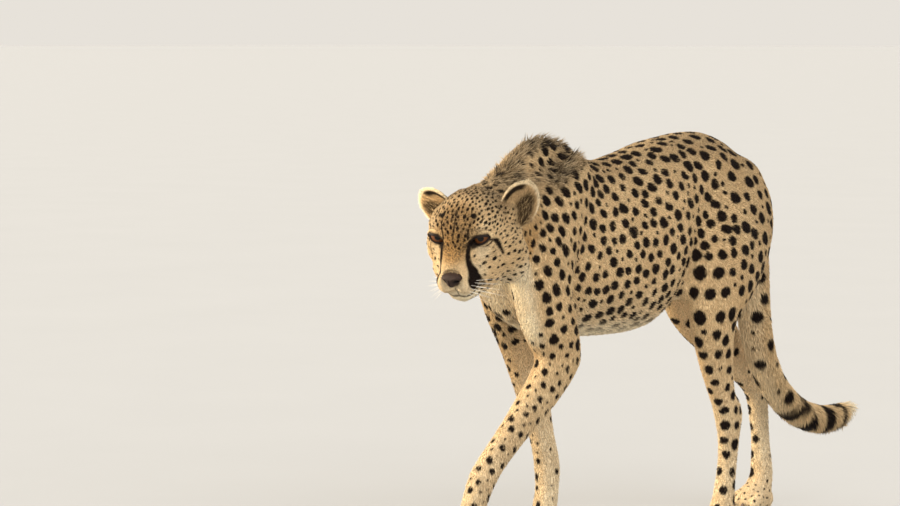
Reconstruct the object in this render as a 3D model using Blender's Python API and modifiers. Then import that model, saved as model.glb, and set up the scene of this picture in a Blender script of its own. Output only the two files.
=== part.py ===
"""A cheetah at life size, walking with its head held low and turned to its left.

The animal faces -Y and its left side is +X. Every form is laid down with the ground at z = 0 and the
withers over x = y = 0, the forms are blended into one body, and the body is parted where its parts are
named. All sizes reach out to the tips of the coat.
"""

import math

import bmesh
import bpy
from mathutils import Matrix, Vector

# Driving dimensions, in metres and degrees.
GAP = 0.0003  # between two neighbouring solids
BLEND_VOXEL = 0.0034  # grid on which the forms are blended into one body
BODY_TRIANGLES = 3900  # of the blended body, before it is parted

HEAD_PLACE = (0.1035, -0.345, 0.5825)  # midway between the fronts of the two eyes
HEAD_YAW = 16.5  # turned to the animal's left
HEAD_PITCH = 26.0  # nose down
EYE_SPREAD = 0.0380  # from the middle of the face to the middle of an eye
EYE_RADIUS = 0.0162
EAR_HEIGHT = 0.068
EAR_HALF_WIDTH = 0.030
EAR_DEPTH = 0.020
EAR_THICKNESS = 0.0045
PAW_WIDTH = 0.066
TOE_COUNT = 4
CLAW_LENGTH = 0.014
CLAW_RADIUS = 0.0047
CLAW_DROP = 40.0
CLAW_TIP_SHARE = 0.3

# The trunk from front to back: y, top, bottom, half width, how far its widest level sits below the middle.
TRUNK = (
    (-0.160, 0.560, 0.478, 0.038, 0.00),
    (-0.130, 0.625, 0.444, 0.060, 0.00),
    (-0.080, 0.688, 0.414, 0.078, 0.05),
    (-0.030, 0.712, 0.399, 0.087, 0.10),
    (0.040, 0.705, 0.389, 0.094, 0.15),
    (0.120, 0.695, 0.385, 0.103, 0.15),
    (0.200, 0.709, 0.386, 0.109, 0.12),
    (0.255, 0.723, 0.400, 0.106, 0.05),
    (0.305, 0.731, 0.438, 0.094, 0.00),
    (0.365, 0.738, 0.474, 0.084, -0.05),
    (0.430, 0.736, 0.492, 0.080, -0.05),
    (0.490, 0.712, 0.510, 0.072, 0.00),
    (0.545, 0.672, 0.530, 0.058, 0.00),
    (0.582, 0.630, 0.560, 0.034, 0.00),
)

# The neck from the withers to the back of the skull: centre, half width, half height.
NECK = (
    ((0.000, 0.030, 0.600), 0.070, 0.095),
    ((0.006, -0.060, 0.596), 0.074, 0.110),
    ((0.028, -0.135, 0.594), 0.070, 0.094),
    ((0.050, -0.195, 0.594), 0.067, 0.080),
    ((0.070, -0.245, 0.594), 0.066, 0.074),
    ((0.088, -0.290, 0.586), 0.054, 0.060),
)

# The upright hair along the nape and withers: centre, half width, half height.
MANE = (
    ((0.050, -0.200, 0.660), 0.018, 0.016),
    ((0.034, -0.150, 0.674), 0.022, 0.022),
    ((0.016, -0.090, 0.697), 0.026, 0.030),
    ((0.002, -0.030, 0.710), 0.028, 0.032),
    ((0.000, 0.030, 0.704), 0.024, 0.026),
    ((0.000, 0.080, 0.688), 0.016, 0.014),
)

# The tail from the rump to its tip: centre and radius.
TAIL = (
    ((0.000, 0.505, 0.650), 0.036),
    ((0.000, 0.556, 0.612), 0.034),
    ((0.000, 0.582, 0.555), 0.033),
    ((0.000, 0.592, 0.490), 0.034),
    ((0.000, 0.596, 0.420), 0.034),
    ((0.000, 0.609, 0.350), 0.033),
    ((0.000, 0.638, 0.285), 0.031),
    ((0.002, 0.682, 0.232), 0.030),
    ((0.006, 0.738, 0.194), 0.031),
    ((0.010, 0.800, 0.176), 0.030),
    ((0.014, 0.858, 0.180), 0.025),
    ((0.016, 0.900, 0.196), 0.014),
)

# Each leg as a chain: centre, half width across the body, half depth along the path's other side.
LEG_CHAINS = {
    "leg_fore_left": (
        ((0.040, 0.030, 0.672), 0.030, 0.044),
        ((0.058, -0.025, 0.625), 0.036, 0.064),
        ((0.074, -0.085, 0.560), 0.042, 0.068),
        ((0.082, -0.112, 0.505), 0.044, 0.064),
        ((0.088, -0.104, 0.440), 0.042, 0.058),
        ((0.091, -0.078, 0.380), 0.035, 0.047),
        ((0.090, -0.100, 0.337), 0.030, 0.040),
        ((0.087, -0.155, 0.284), 0.026, 0.033),
        ((0.083, -0.212, 0.232), 0.023, 0.027),
        ((0.080, -0.256, 0.188), 0.024, 0.027),
        ((0.078, -0.280, 0.138), 0.022, 0.024),
        ((0.077, -0.298, 0.085), 0.023, 0.025),
        ((0.077, -0.312, 0.050), 0.026, 0.026),
    ),
    "leg_fore_right": (
        ((-0.040, 0.010, 0.680), 0.030, 0.044),
        ((-0.058, -0.020, 0.628), 0.036, 0.062),
        ((-0.070, -0.036, 0.568), 0.042, 0.062),
        ((-0.076, -0.032, 0.510), 0.044, 0.056),
        ((-0.081, -0.008, 0.445), 0.042, 0.050),
        ((-0.084, 0.026, 0.385), 0.035, 0.047),
        ((-0.083, 0.044, 0.330), 0.030, 0.040),
        ((-0.081, 0.062, 0.268), 0.026, 0.033),
        ((-0.078, 0.080, 0.205), 0.023, 0.026),
        ((-0.076, 0.092, 0.152), 0.024, 0.027),
        ((-0.074, 0.088, 0.110), 0.022, 0.023),
        ((-0.073, 0.080, 0.072), 0.023, 0.024),
        ((-0.073, 0.070, 0.046), 0.026, 0.025),
    ),
    "leg_hind_left": (
        ((0.050, 0.470, 0.660), 0.036, 0.070),
        ((0.066, 0.458, 0.600), 0.048, 0.096),
        ((0.080, 0.425, 0.540), 0.050, 0.098),
        ((0.092, 0.380, 0.482), 0.044, 0.086),
        ((0.094, 0.352, 0.430), 0.037, 0.068),
        ((0.091, 0.354, 0.375), 0.031, 0.052),
        ((0.088, 0.368, 0.318), 0.026, 0.040),
        ((0.085, 0.390, 0.262), 0.022, 0.031),
        ((0.082, 0.412, 0.214), 0.022, 0.030),
        ((0.080, 0.414, 0.160), 0.020, 0.023),
        ((0.078, 0.409, 0.105), 0.020, 0.021),
        ((0.077, 0.403, 0.065), 0.023, 0.023),
        ((0.077, 0.394, 0.042), 0.025, 0.025),
    ),
    "leg_hind_right": (
        ((-0.050, 0.480, 0.660), 0.036, 0.070),
        ((-0.066, 0.490, 0.600), 0.048, 0.092),
        ((-0.078, 0.492, 0.535), 0.050, 0.092),
        ((-0.086, 0.506, 0.470), 0.044, 0.083),
        ((-0.088, 0.534, 0.412), 0.037, 0.072),
        ((-0.086, 0.586, 0.358), 0.031, 0.057),
        ((-0.083, 0.638, 0.312), 0.026, 0.045),
        ((-0.080, 0.680, 0.272), 0.022, 0.034),
        ((-0.078, 0.714, 0.236), 0.022, 0.030),
        ((-0.077, 0.724, 0.180), 0.020, 0.024),
        ((-0.076, 0.730, 0.120), 0.020, 0.021),
        ((-0.075, 0.732, 0.072), 0.023, 0.023),
        ((-0.075, 0.724, 0.046), 0.025, 0.025),
    ),
}
# From which station of its chain each leg is a node of its own, and how far its region stands off it.
LEG_FROM = {"leg_fore_left": 5, "leg_fore_right": 5, "leg_hind_left": 3, "leg_hind_right": 3}
LEG_REGION_OFF = 0.020
TAIL_REGION_OFF = 0.012

# Each paw: the middle of its ball, and the way it points, in degrees to the animal's left.
PAWS = {
    "paw_fore_left": ((0.077, -0.330), 2.0),
    "paw_fore_right": ((-0.073, 0.056), -2.0),
    "paw_hind_left": ((0.077, 0.380), 3.0),
    "paw_hind_right": ((-0.075, 0.710), -3.0),
}

# Rounded masses that the chains don't give: centre, radii, turn about X in degrees.
MASSES = (
    ((0.012, -0.092, 0.500), (0.060, 0.062, 0.080), 0.0),  # breast
    ((0.094, -0.046, 0.366), (0.017, 0.026, 0.022), 20.0),  # left elbow
    ((-0.086, 0.060, 0.388), (0.017, 0.026, 0.020), 20.0),  # right elbow
    ((0.046, 0.490, 0.606), (0.040, 0.074, 0.074), 20.0),  # left buttock
    ((-0.046, 0.495, 0.606), (0.040, 0.070, 0.074), 20.0),  # right buttock
    ((0.046, 0.390, 0.655), (0.040, 0.080, 0.060), 0.0),  # left hip
    ((-0.046, 0.395, 0.655), (0.040, 0.080, 0.060), 0.0),  # right hip
    ((0.062, 0.300, 0.490), (0.024, 0.060, 0.050), -30.0),  # left flank fold
    ((-0.060, 0.370, 0.490), (0.024, 0.070, 0.040), -20.0),  # right flank fold
    ((0.084, 0.432, 0.232), (0.014, 0.018, 0.036), 12.0),  # left heel
    ((-0.080, 0.733, 0.252), (0.014, 0.018, 0.036), 35.0),  # right heel
)

# The head's forms, in its own frame: x to the left, y back, z up, from midway between the eyes.
SKULL = (
    ((0.000, 0.060, 0.000), (0.062, 0.070, 0.052), 0.0),  # cranium
    ((0.000, 0.022, 0.006), (0.047, 0.032, 0.035), -20.0),  # forehead
    ((0.000, 0.058, -0.040), (0.062, 0.060, 0.052), 0.0),  # back of the jaws
    ((0.000, 0.000, 0.000), (0.017, 0.020, 0.012), -30.0),  # between the eyes
)
PAIRED_SKULL = (
    ((0.046, 0.056, -0.042), (0.037, 0.042, 0.050), 0.0),  # cheek
    ((0.046, 0.070, -0.068), (0.035, 0.036, 0.048), 0.0),  # ruff behind the cheek
    ((0.033, 0.018, -0.056), (0.026, 0.036, 0.036), 0.0),  # front of the cheek
    ((0.035, 0.024, 0.019), (0.023, 0.022, 0.012), 0.0),  # brow
    ((0.046, 0.048, 0.006), (0.018, 0.034, 0.026), 0.0),  # temple
    ((0.043, 0.026, -0.022), (0.018, 0.026, 0.014), 0.0),  # cheekbone
    ((0.0500, 0.026, 0.000), (0.0105, 0.017, 0.015), 0.0),  # outer corner of the eye
    ((0.0170, -0.031, -0.059), (0.0180, 0.0225, 0.0200), 0.0),  # whisker pad
    ((0.050, 0.084, 0.000), (0.017, 0.020, 0.020), 0.0),  # root of the ear
)
# What is hollowed out in front of each eye: middle, radii, turn about X in degrees.
SOCKET = ((0.0385, -0.0035, -0.0005), (0.0175, 0.0165, 0.0108), 0.0)
# Muzzle and lower jaw: centre, half width, half height.
MUZZLE = (
    ((0.000, 0.030, -0.014), 0.054, 0.042),
    ((0.000, 0.008, -0.024), 0.044, 0.034),
    ((0.000, -0.008, -0.036), 0.0360, 0.0325),
    ((0.000, -0.022, -0.042), 0.0280, 0.0285),
    ((0.000, -0.033, -0.047), 0.0235, 0.0220),
)
JAW = (
    ((0.000, 0.080, -0.074), 0.062, 0.040),
    ((0.000, 0.050, -0.074), 0.060, 0.037),
    ((0.000, 0.020, -0.079), 0.046, 0.026),
    ((0.000, -0.006, -0.083), 0.034, 0.0195),
    ((0.000, -0.022, -0.084), 0.0250, 0.0160),
)

# Each ear: its root in the head's frame, how far it leans out, leans back and turns out.
EARS = {
    "left": ((0.062, 0.076, -0.008), 24.0, 34.0, 36.0),
    "right": ((-0.050, 0.082, -0.010), 54.0, 30.0, 28.0),
}
EAR_WIDEST = 0.45  # as a share of its height
EAR_TIP_SHARE = 0.16  # how wide the very tip stays, as a share of the widest
EYE_DEPTH = 0.0150  # from the front of the eyes back to their middles
NOSE_PLACE = (0.0, -0.0465, -0.0480)
NOSE_RADII = (0.0175, 0.0125, 0.0115)
NOSE_TILT = -18.0
NOSE_TAPER = 0.30  # how much wider its top is than its middle

# Where the neck leaves the trunk, and where the head leaves the neck, in the head's frame.
NECK_ROOT = (0.02, -0.130, 0.610)
NECK_ROOT_TILT = -28.0
HEAD_LENGTH_BACK = 0.108
REGION_REACH = 0.30

# The stations between which the tail is cut into lengths, from the tip.
TAIL_LENGTHS = (("tail_tip", 8, 11), ("tail_middle", 5, 8), ("tail_root", 2, 5))

COAT = (0.62, 0.43, 0.22)
CREAM = (0.78, 0.68, 0.50)
BLACK = (0.02, 0.016, 0.013)
AMBER = (0.30, 0.12, 0.03)
HORN = (0.16, 0.12, 0.09)

CAP_ROUND = (0.0, 0.38, 0.70, 0.92, 1.0)  # how a form's end closes, as shares of its radius


def clear_scene():
    for thing in list(bpy.data.objects):
        bpy.data.objects.remove(thing)


def collection(name):
    made = bpy.data.collections.new(name)
    bpy.context.scene.collection.children.link(made)
    return made


def material(name, colour, roughness, metallic=0.0):
    made = bpy.data.materials.new(name)
    made.use_nodes = True
    surface = made.node_tree.nodes["Principled BSDF"]
    surface.inputs["Base Color"].default_value = (*colour, 1.0)
    surface.inputs["Roughness"].default_value = roughness
    surface.inputs["Metallic"].default_value = metallic
    return made


def new_object(name, mesh, home):
    made = bpy.data.objects.new(name, mesh)
    home.objects.link(made)
    return made


def apply_modifiers(thing):
    """Puts the evaluated mesh in place of the thing's own mesh and drops its modifiers."""
    bpy.context.view_layer.update()
    graph = bpy.context.evaluated_depsgraph_get()
    mesh = bpy.data.meshes.new_from_object(thing.evaluated_get(graph))
    thing.modifiers.clear()
    old = thing.data
    thing.data = mesh
    bpy.data.meshes.remove(old)


def between(a, b, c, d, t):
    """A point of the smooth curve from b to c whose neighbours are a and d."""
    return 0.5 * (
        2 * b + (c - a) * t + (2 * a - 5 * b + 4 * c - d) * t * t + (3 * b - a - 3 * c + d) * t**3
    )


def smooth_rows(rows, steps):
    """More rows of numbers on a smooth curve through the given ones."""
    rows = [Vector(row) for row in rows]
    ends = [2 * rows[0] - rows[1], *rows, 2 * rows[-1] - rows[-2]]
    made = []
    for i in range(1, len(ends) - 2):
        for step in range(steps):
            made.append(between(*ends[i - 1 : i + 3], step / steps))
    made.append(rows[-1])
    return made


def skin_rings(rings, name, home):
    """A closed mesh over rings of equal count, with a fan over each end."""
    mesh = bmesh.new()
    rows = [[mesh.verts.new(point) for point in ring] for ring in rings]
    count = len(rows[0])
    for low, high in zip(rows, rows[1:]):
        for i in range(count):
            j = (i + 1) % count
            mesh.faces.new((low[i], low[j], high[j], high[i]))
    for row in (rows[0], rows[-1]):
        centre = mesh.verts.new(sum((v.co for v in row), Vector()) / count)
        for i in range(count):
            mesh.faces.new((row[i], row[(i + 1) % count], centre))
    bmesh.ops.recalc_face_normals(mesh, faces=mesh.faces)
    data = bpy.data.meshes.new(name)
    mesh.to_mesh(data)
    mesh.free()
    return new_object(name, data, home)


def tube(name, stations, home, steps=4, sides=24, side_way=Vector((1, 0, 0)), extra=0.0, round_ends=True):
    """A lofted form along stations of centre, half width and half height, with rounded ends."""
    rows = smooth_rows([Vector((*centre, wide, high)) for centre, wide, high in stations], steps)
    rings = []
    last = len(rows) - 1
    for i, row in enumerate(rows):
        centre = Vector(row[:3])
        ahead = Vector(rows[min(i + 1, last)][:3]) - Vector(rows[max(i - 1, 0)][:3])
        ahead.normalize()
        up = ahead.cross(side_way).normalized()
        side = up.cross(ahead).normalized()
        wide = row[3] + extra
        high = row[4] + extra
        ends = [(0.0, 1.0)]
        if round_ends and i in (0, last):
            way = -1.0 if i == 0 else 1.0
            ends = [(way * math.sqrt(1 - share**2), share) for share in CAP_ROUND[1:]]
            ends = ends if i == 0 else ends[::-1]
        for reach, share in ends:
            middle = centre + ahead * reach * min(wide, high)
            if not round_ends and i in (0, last):
                middle += ahead * (extra if i else -extra)
            rings.append(
                [
                    middle
                    + side * wide * share * math.cos(2 * math.pi * k / sides)
                    + up * high * share * math.sin(2 * math.pi * k / sides)
                    for k in range(sides)
                ]
            )
    return skin_rings(rings, name, home)


def mass(name, centre, radii, tilt, home, frame=Matrix(), sides=24):
    """An ellipsoid turned about X by tilt degrees, in the given frame."""
    data = bpy.data.meshes.new(name)
    mesh = bmesh.new()
    place = (
        frame
        @ Matrix.Translation(centre)
        @ Matrix.Rotation(math.radians(tilt), 4, "X")
        @ Matrix.Diagonal((*radii, 1.0))
    )
    bmesh.ops.create_uvsphere(
        mesh, u_segments=sides, v_segments=2 * sides // 3, radius=1.0, matrix=place
    )
    bmesh.ops.triangulate(mesh, faces=mesh.faces)
    mesh.to_mesh(data)
    mesh.free()
    return new_object(name, data, home)


def box(name, centre, half, frame, home, extra=0.0):
    data = bpy.data.meshes.new(name)
    mesh = bmesh.new()
    sides = [2 * (h + extra) for h in half]
    bmesh.ops.create_cube(
        mesh, size=1.0, matrix=frame @ Matrix.Translation(centre) @ Matrix.Diagonal((*sides, 1.0))
    )
    mesh.to_mesh(data)
    mesh.free()
    return new_object(name, data, home)


def head_frame():
    return (
        Matrix.Translation(HEAD_PLACE)
        @ Matrix.Rotation(math.radians(HEAD_YAW), 4, "Z")
        @ Matrix.Rotation(math.radians(HEAD_PITCH), 4, "X")
    )


def trunk_form(home):
    """The rib cage, belly and loins, egg shaped in section."""
    rings = []
    for y, top, bottom, wide, drop in smooth_rows(TRUNK, 4):
        middle = 0.5 * (top + bottom)
        high = 0.5 * (top - bottom)
        ring = []
        for k in range(40):
            angle = 2 * math.pi * k / 40
            level = math.cos(angle)
            across = math.sin(angle) * wide * (1 - drop * level)
            ring.append(Vector((across, y, middle + high * level)))
        rings.append(ring)
    return skin_rings(rings, "trunk_form", home)


def in_frame(stations, frame):
    return [(frame @ Vector(centre), wide, high) for centre, wide, high in stations]


def head_forms(home):
    frame = head_frame()
    left = frame.to_3x3() @ Vector((1, 0, 0))
    made = [
        tube("muzzle_form", in_frame(MUZZLE, frame), home, side_way=left),
        tube("jaw_form", in_frame(JAW, frame), home, side_way=left),
    ]
    for i, (centre, radii, tilt) in enumerate(SKULL):
        made.append(mass(f"skull_form_{i}", centre, radii, tilt, home, frame))
    for i, (centre, radii, tilt) in enumerate(PAIRED_SKULL):
        for side in (1, -1):
            place = (side * centre[0], centre[1], centre[2])
            made.append(mass(f"skull_pair_{i}_{side}", place, radii, tilt, home, frame))
    return made


def paw_frame(name):
    (x, y), turn = PAWS[name]
    return Matrix.Translation((x, y, 0.0)) @ Matrix.Rotation(math.radians(turn), 4, "Z")


def toe_places():
    """The four toes across the paw: sideways place, tip's reach and splay in degrees."""
    made = []
    for i in range(TOE_COUNT):
        side = (i - (TOE_COUNT - 1) / 2) / ((TOE_COUNT - 1) / 2)
        made.append((side * 0.36 * PAW_WIDTH, 0.052 - 0.011 * side * side, side * 9.0))
    return made


def paw_forms(name, home):
    frame = paw_frame(name)
    made = [
        mass(f"{name}_ball", (0, 0.008, 0.022), (0.46 * PAW_WIDTH, 0.034, 0.026), 0.0, home, frame),
        mass(f"{name}_instep", (0, -0.006, 0.036), (0.38 * PAW_WIDTH, 0.032, 0.019), 12.0, home, frame),
    ]
    for i, (across, reach, splay) in enumerate(toe_places()):
        turn = frame @ Matrix.Translation((across, 0, 0)) @ Matrix.Rotation(math.radians(splay), 4, "Z")
        made.append(
            mass(f"{name}_toe_{i}", (0, -0.026, 0.021), (0.0112, 0.027, 0.0165), 14.0, home, turn)
        )
        made.append(
            mass(f"{name}_toe_end_{i}", (0, 0.016 - reach, 0.0115), (0.0106, 0.016, 0.0135), 0.0, home, turn)
        )
    return made


def joined(name, pieces, home):
    mesh = bmesh.new()
    for piece in pieces:
        mesh.from_mesh(piece.data)
        bpy.data.objects.remove(piece)
    data = bpy.data.meshes.new(name)
    mesh.to_mesh(data)
    mesh.free()
    return new_object(name, data, home)


def near(point, centre, inner, outer):
    """1 within the inner distance of the centre, 0 beyond the outer one."""
    away = (point - centre).length
    share = min(max((outer - away) / (outer - inner), 0.0), 1.0)
    return share * share * (3 - 2 * share)


def blend_body(home):
    """All forms of flesh as one closed skin, smoothed and thinned to facets."""
    forms = [trunk_form(home), tube("neck_form", NECK, home), tube("mane_form", MANE, home, sides=16)]
    forms.append(tube("tail_form", [(c, r, r) for c, r in TAIL], home, sides=20))
    forms += head_forms(home)
    for name, chain in LEG_CHAINS.items():
        forms.append(tube(f"{name}_form", chain, home))
    for name in PAWS:
        forms += paw_forms(name, home)
    for i, (centre, radii, tilt) in enumerate(MASSES):
        forms.append(mass(f"mass_form_{i}", centre, radii, tilt, home))
    body = joined("body", forms, home)
    remesh = body.modifiers.new("blend", "REMESH")
    remesh.mode = "VOXEL"
    remesh.voxel_size = BLEND_VOXEL
    apply_modifiers(body)

    body_group = body.vertex_groups.new(name="body_share")
    keep_group = body.vertex_groups.new(name="keep_share")
    head_centre = head_frame() @ Vector((0, 0.03, -0.02))
    for vertex in body.data.vertices:
        fine = near(vertex.co, head_centre, 0.10, 0.15)
        low = min(max((0.16 - vertex.co.z) / 0.06, 0.0), 1.0)
        body_group.add([vertex.index], (1 - fine) * (1 - low), "REPLACE")
        keep_group.add([vertex.index], 0.1 + 0.8 * max(fine, 0.5 * low), "REPLACE")
    for name, factor, repeats, group in (
        ("settle_all", 0.5, 9, ""),
        ("settle_body", 0.5, 60, "body_share"),
    ):
        smooth = body.modifiers.new(name, "SMOOTH")
        smooth.factor = factor
        smooth.iterations = repeats
        smooth.vertex_group = group
    thin = body.modifiers.new("facets", "DECIMATE")
    thin.ratio = BODY_TRIANGLES / (2 * len(body.data.polygons))
    thin.vertex_group = "keep_share"
    thin.invert_vertex_group = True
    thin.vertex_group_factor = 0.00001
    thin.use_collapse_triangulate = True
    apply_modifiers(body)
    body.vertex_groups.clear()
    return body


def cut(thing, cutter, operation):
    boolean = thing.modifiers.new(operation.lower(), "BOOLEAN")
    boolean.operation = operation
    boolean.solver = "EXACT"
    boolean.object = cutter
    apply_modifiers(thing)


def part_off(body, name, region, grown, home):
    """Takes what lies in the region off the body as a piece of its own, a gap away from the rest."""
    piece = new_object(name, body.data.copy(), home)
    cut(piece, region, "INTERSECT")
    cut(body, grown, "DIFFERENCE")
    for cutter in (region, grown):
        bpy.data.objects.remove(cutter)
    return piece


def region_tube(name, stations, wider, cutters):
    """A region round a chain of stations, flat ended, and the same grown by the gap."""
    wide = [(centre, w + wider, h + wider) for centre, w, h in stations]
    return [
        tube(f"{name}_{kind}", wide, cutters, steps=1, sides=12, extra=extra, round_ends=False)
        for kind, extra in (("region", 0.0), ("grown", GAP))
    ]


def region_box(name, centre, half, frame, cutters):
    return [
        box(f"{name}_{kind}", centre, half, frame, cutters, extra)
        for kind, extra in (("region", 0.0), ("grown", GAP))
    ]


def part_paws(body, parts, cutters):
    for name in PAWS:
        region = region_box(name, (0, -0.004, 0.020), (0.050, 0.080, 0.036), paw_frame(name), cutters)
        part_off(body, name, *region, parts)


def part_legs(body, parts, cutters):
    for name, chain in LEG_CHAINS.items():
        end = 2 * Vector(chain[-1][0]) - Vector(chain[-2][0])
        stations = [*chain[LEG_FROM[name] :], (end, *chain[-1][1:])]
        part_off(body, name, *region_tube(name, stations, LEG_REGION_OFF, cutters), parts)


def part_tail(body, parts, cutters):
    for name, first, last in TAIL_LENGTHS:
        # Each region runs one station into the length already taken, so that no slice is left between them.
        stations = [(centre, radius, radius) for centre, radius in TAIL[first : last + 2]]
        if last == len(TAIL) - 1:
            stations.append((2 * Vector(stations[-1][0]) - Vector(stations[-2][0]), *stations[-2][1:]))
        part_off(body, name, *region_tube(name, stations, TAIL_REGION_OFF, cutters), parts)


def part_head(body, parts, cutters):
    reach = REGION_REACH / 2
    region = region_box(
        "head", (0, HEAD_LENGTH_BACK - reach, 0), (reach, reach, reach), head_frame(), cutters
    )
    part_off(body, "head", *region, parts)
    tilt = Matrix.Translation(NECK_ROOT) @ Matrix.Rotation(math.radians(NECK_ROOT_TILT), 4, "X")
    region = region_box("neck", (0, -reach, 0), (reach, reach, reach), tilt, cutters)
    part_off(body, "neck", *region, parts)


def flatten_soles(body, cutters):
    floor = box("floor_cut", (0, 0.2, -0.05), (0.5, 1.0, 0.05), Matrix(), cutters)
    cut(body, floor, "DIFFERENCE")
    bpy.data.objects.remove(floor)


def grown_copy(thing, cutters):
    """The thing with its surface moved out by the gap."""
    made = new_object(f"{thing.name}_grown", thing.data.copy(), cutters)
    swell = made.modifiers.new("swell", "DISPLACE")
    swell.strength = GAP
    swell.mid_level = 0.0
    apply_modifiers(made)
    return made


def seat(thing, hosts, cutters):
    """Cuts a seat for the thing, a gap wide all round, out of each host."""
    grown = grown_copy(thing, cutters)
    for host in hosts:
        cut(host, grown, "DIFFERENCE")
    bpy.data.objects.remove(grown)


def ear_frame(root, out, back, turn):
    """Up the ear is +Z, its cup opens towards -Y."""
    side = math.copysign(1.0, root[0])
    return (
        head_frame()
        @ Matrix.Translation(root)
        @ Matrix.Rotation(math.radians(-back), 4, "X")
        @ Matrix.Rotation(math.radians(side * out), 4, "Y")
        @ Matrix.Rotation(math.radians(side * turn), 4, "Z")
    )


def ear_point(across, up):
    """The ear's cup: across runs from -1 to 1, up from 0 at the root to 1 at the rounded tip."""
    low = 0.60 + 0.40 * math.sin(0.5 * math.pi * min(up / EAR_WIDEST, 1.0))
    high = math.sqrt(max(1 - (max(up - EAR_WIDEST, 0.0) / (1 - EAR_WIDEST)) ** 2, 0.0))
    wide = EAR_HALF_WIDTH * low * max(high, EAR_TIP_SHARE)
    hollow = EAR_DEPTH * (1 - 0.55 * up) * (0.35 + 0.65 * high)
    return Vector((wide * across, hollow * (1 - across**2), EAR_HEIGHT * up))


def make_ear(word, parts):
    columns, rows = 6, 8
    name = f"ear_{word}"
    mesh = bmesh.new()
    grid = []
    for j in range(rows + 1):
        up = math.sin(0.5 * math.pi * j / rows)
        grid.append([mesh.verts.new(ear_point(2 * i / columns - 1, up)) for i in range(columns + 1)])
    for j in range(rows):
        for i in range(columns):
            mesh.faces.new((grid[j][i], grid[j][i + 1], grid[j + 1][i + 1], grid[j + 1][i]))
    mesh.transform(ear_frame(*EARS[word]))
    data = bpy.data.meshes.new(name)
    mesh.to_mesh(data)
    mesh.free()
    ear = new_object(name, data, parts)
    shell = ear.modifiers.new("thickness", "SOLIDIFY")
    shell.thickness = EAR_THICKNESS
    shell.offset = 0.0
    ear.modifiers.new("facets", "TRIANGULATE")
    apply_modifiers(ear)
    return ear


def make_eye(name, side, parts):
    place = (side * EYE_SPREAD, EYE_DEPTH, 0.0)
    return mass(name, place, [EYE_RADIUS] * 3, 0.0, parts, head_frame(), sides=14)


def open_socket(head, side, cutters):
    """Clears the coat from before an eye, so that the eye looks out."""
    centre, radii, tilt = SOCKET
    place = (side * centre[0], *centre[1:])
    hollow = mass("socket", place, radii, tilt, cutters, head_frame(), sides=14)
    cut(head, hollow, "DIFFERENCE")
    bpy.data.objects.remove(hollow)


def make_nose(parts):
    """The nose leather, a blunt wedge that is wider above."""
    nose = mass("nose", (0, 0, 0), NOSE_RADII, 0.0, parts, sides=12)
    for vertex in nose.data.vertices:
        vertex.co.x *= 1 + NOSE_TAPER * vertex.co.z / NOSE_RADII[2]
    tilt = Matrix.Rotation(math.radians(NOSE_TILT), 4, "X")
    nose.data.transform(head_frame() @ Matrix.Translation(NOSE_PLACE) @ tilt)
    return nose


def make_claws(paw, parts):
    claws = []
    for i, (across, reach, splay) in enumerate(toe_places()):
        frame = (
            paw_frame(paw.name)
            @ Matrix.Translation((across, 0, 0))
            @ Matrix.Rotation(math.radians(splay), 4, "Z")
            @ Matrix.Translation((0, 0.003 - reach, 0.0165))
            @ Matrix.Rotation(math.radians(CLAW_DROP), 4, "X")
            @ Matrix.Rotation(math.radians(90), 4, "X")
            @ Matrix.Translation((0, 0, 0.5 * CLAW_LENGTH))
        )
        mesh = bmesh.new()
        bmesh.ops.create_cone(
            mesh,
            cap_ends=True,
            segments=7,
            radius1=CLAW_RADIUS,
            radius2=CLAW_TIP_SHARE * CLAW_RADIUS,
            depth=CLAW_LENGTH,
            matrix=frame,
        )
        data = bpy.data.meshes.new("claw")
        mesh.to_mesh(data)
        mesh.free()
        name = paw.name.replace("paw", "claw") + f"_{i + 1}"
        claws.append(new_object(name, data, parts))
    return claws


def set_on_origin(parts):
    """Moves every solid so that the middle of the box's base is the origin."""
    lows = [min(v.co[axis] for thing in parts for v in thing.data.vertices) for axis in range(3)]
    highs = [max(v.co[axis] for thing in parts for v in thing.data.vertices) for axis in range(3)]
    shift = Vector((-(lows[0] + highs[0]) / 2, -(lows[1] + highs[1]) / 2, -lows[2]))
    for thing in parts:
        thing.data.transform(Matrix.Translation(shift))


def finish(parts):
    colours = (("eye", AMBER, 0.1), ("nose", BLACK, 0.35), ("claw", HORN, 0.4), ("paw", CREAM, 0.8))
    for thing in parts:
        colour, roughness = COAT, 0.8
        for start, other, rough in colours:
            if thing.name.startswith(start):
                colour, roughness = other, rough
        thing.data.materials.clear()
        thing.data.materials.append(material(f"{thing.name}_finish", colour, roughness))
        thing.data.shade_smooth()
        thing.data.set_sharp_from_angle(angle=math.radians(50))


def build():
    clear_scene()
    home = collection("cheetah")
    cutters = collection("cutters")
    body = blend_body(home)
    flatten_soles(body, cutters)
    part_paws(body, home, cutters)
    part_legs(body, home, cutters)
    part_tail(body, home, cutters)
    part_head(body, home, cutters)
    body.name = "trunk"

    head = bpy.data.objects["head"]
    for word, side in (("left", 1), ("right", -1)):
        seat(make_ear(word, home), [head], cutters)
        open_socket(head, side, cutters)
        seat(make_eye(f"eye_{word}", side, home), [head], cutters)
    seat(make_nose(home), [head], cutters)
    for name in PAWS:
        paw = bpy.data.objects[name]
        for claw in make_claws(paw, home):
            seat(claw, [paw], cutters)
    set_on_origin(home.objects)
    finish(home.objects)


build()
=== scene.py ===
"""The looks of a life-size cheetah, walking with its head held low and turned to its left.

One skin is drawn over the solids of flesh and lies inside them by the depth of the coat. Spots and face
marks are laid out on that skin once, and both the skin and the tufts rooted in it take them from there.
The animal faces -Y, its left side is +X and the floor is at z = 0. Sizes are in metres.
"""

import math

import bmesh
import bpy
import numpy as np
from mathutils import Matrix, Vector
from mathutils.bvhtree import BVHTree
from mathutils.kdtree import KDTree


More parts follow.
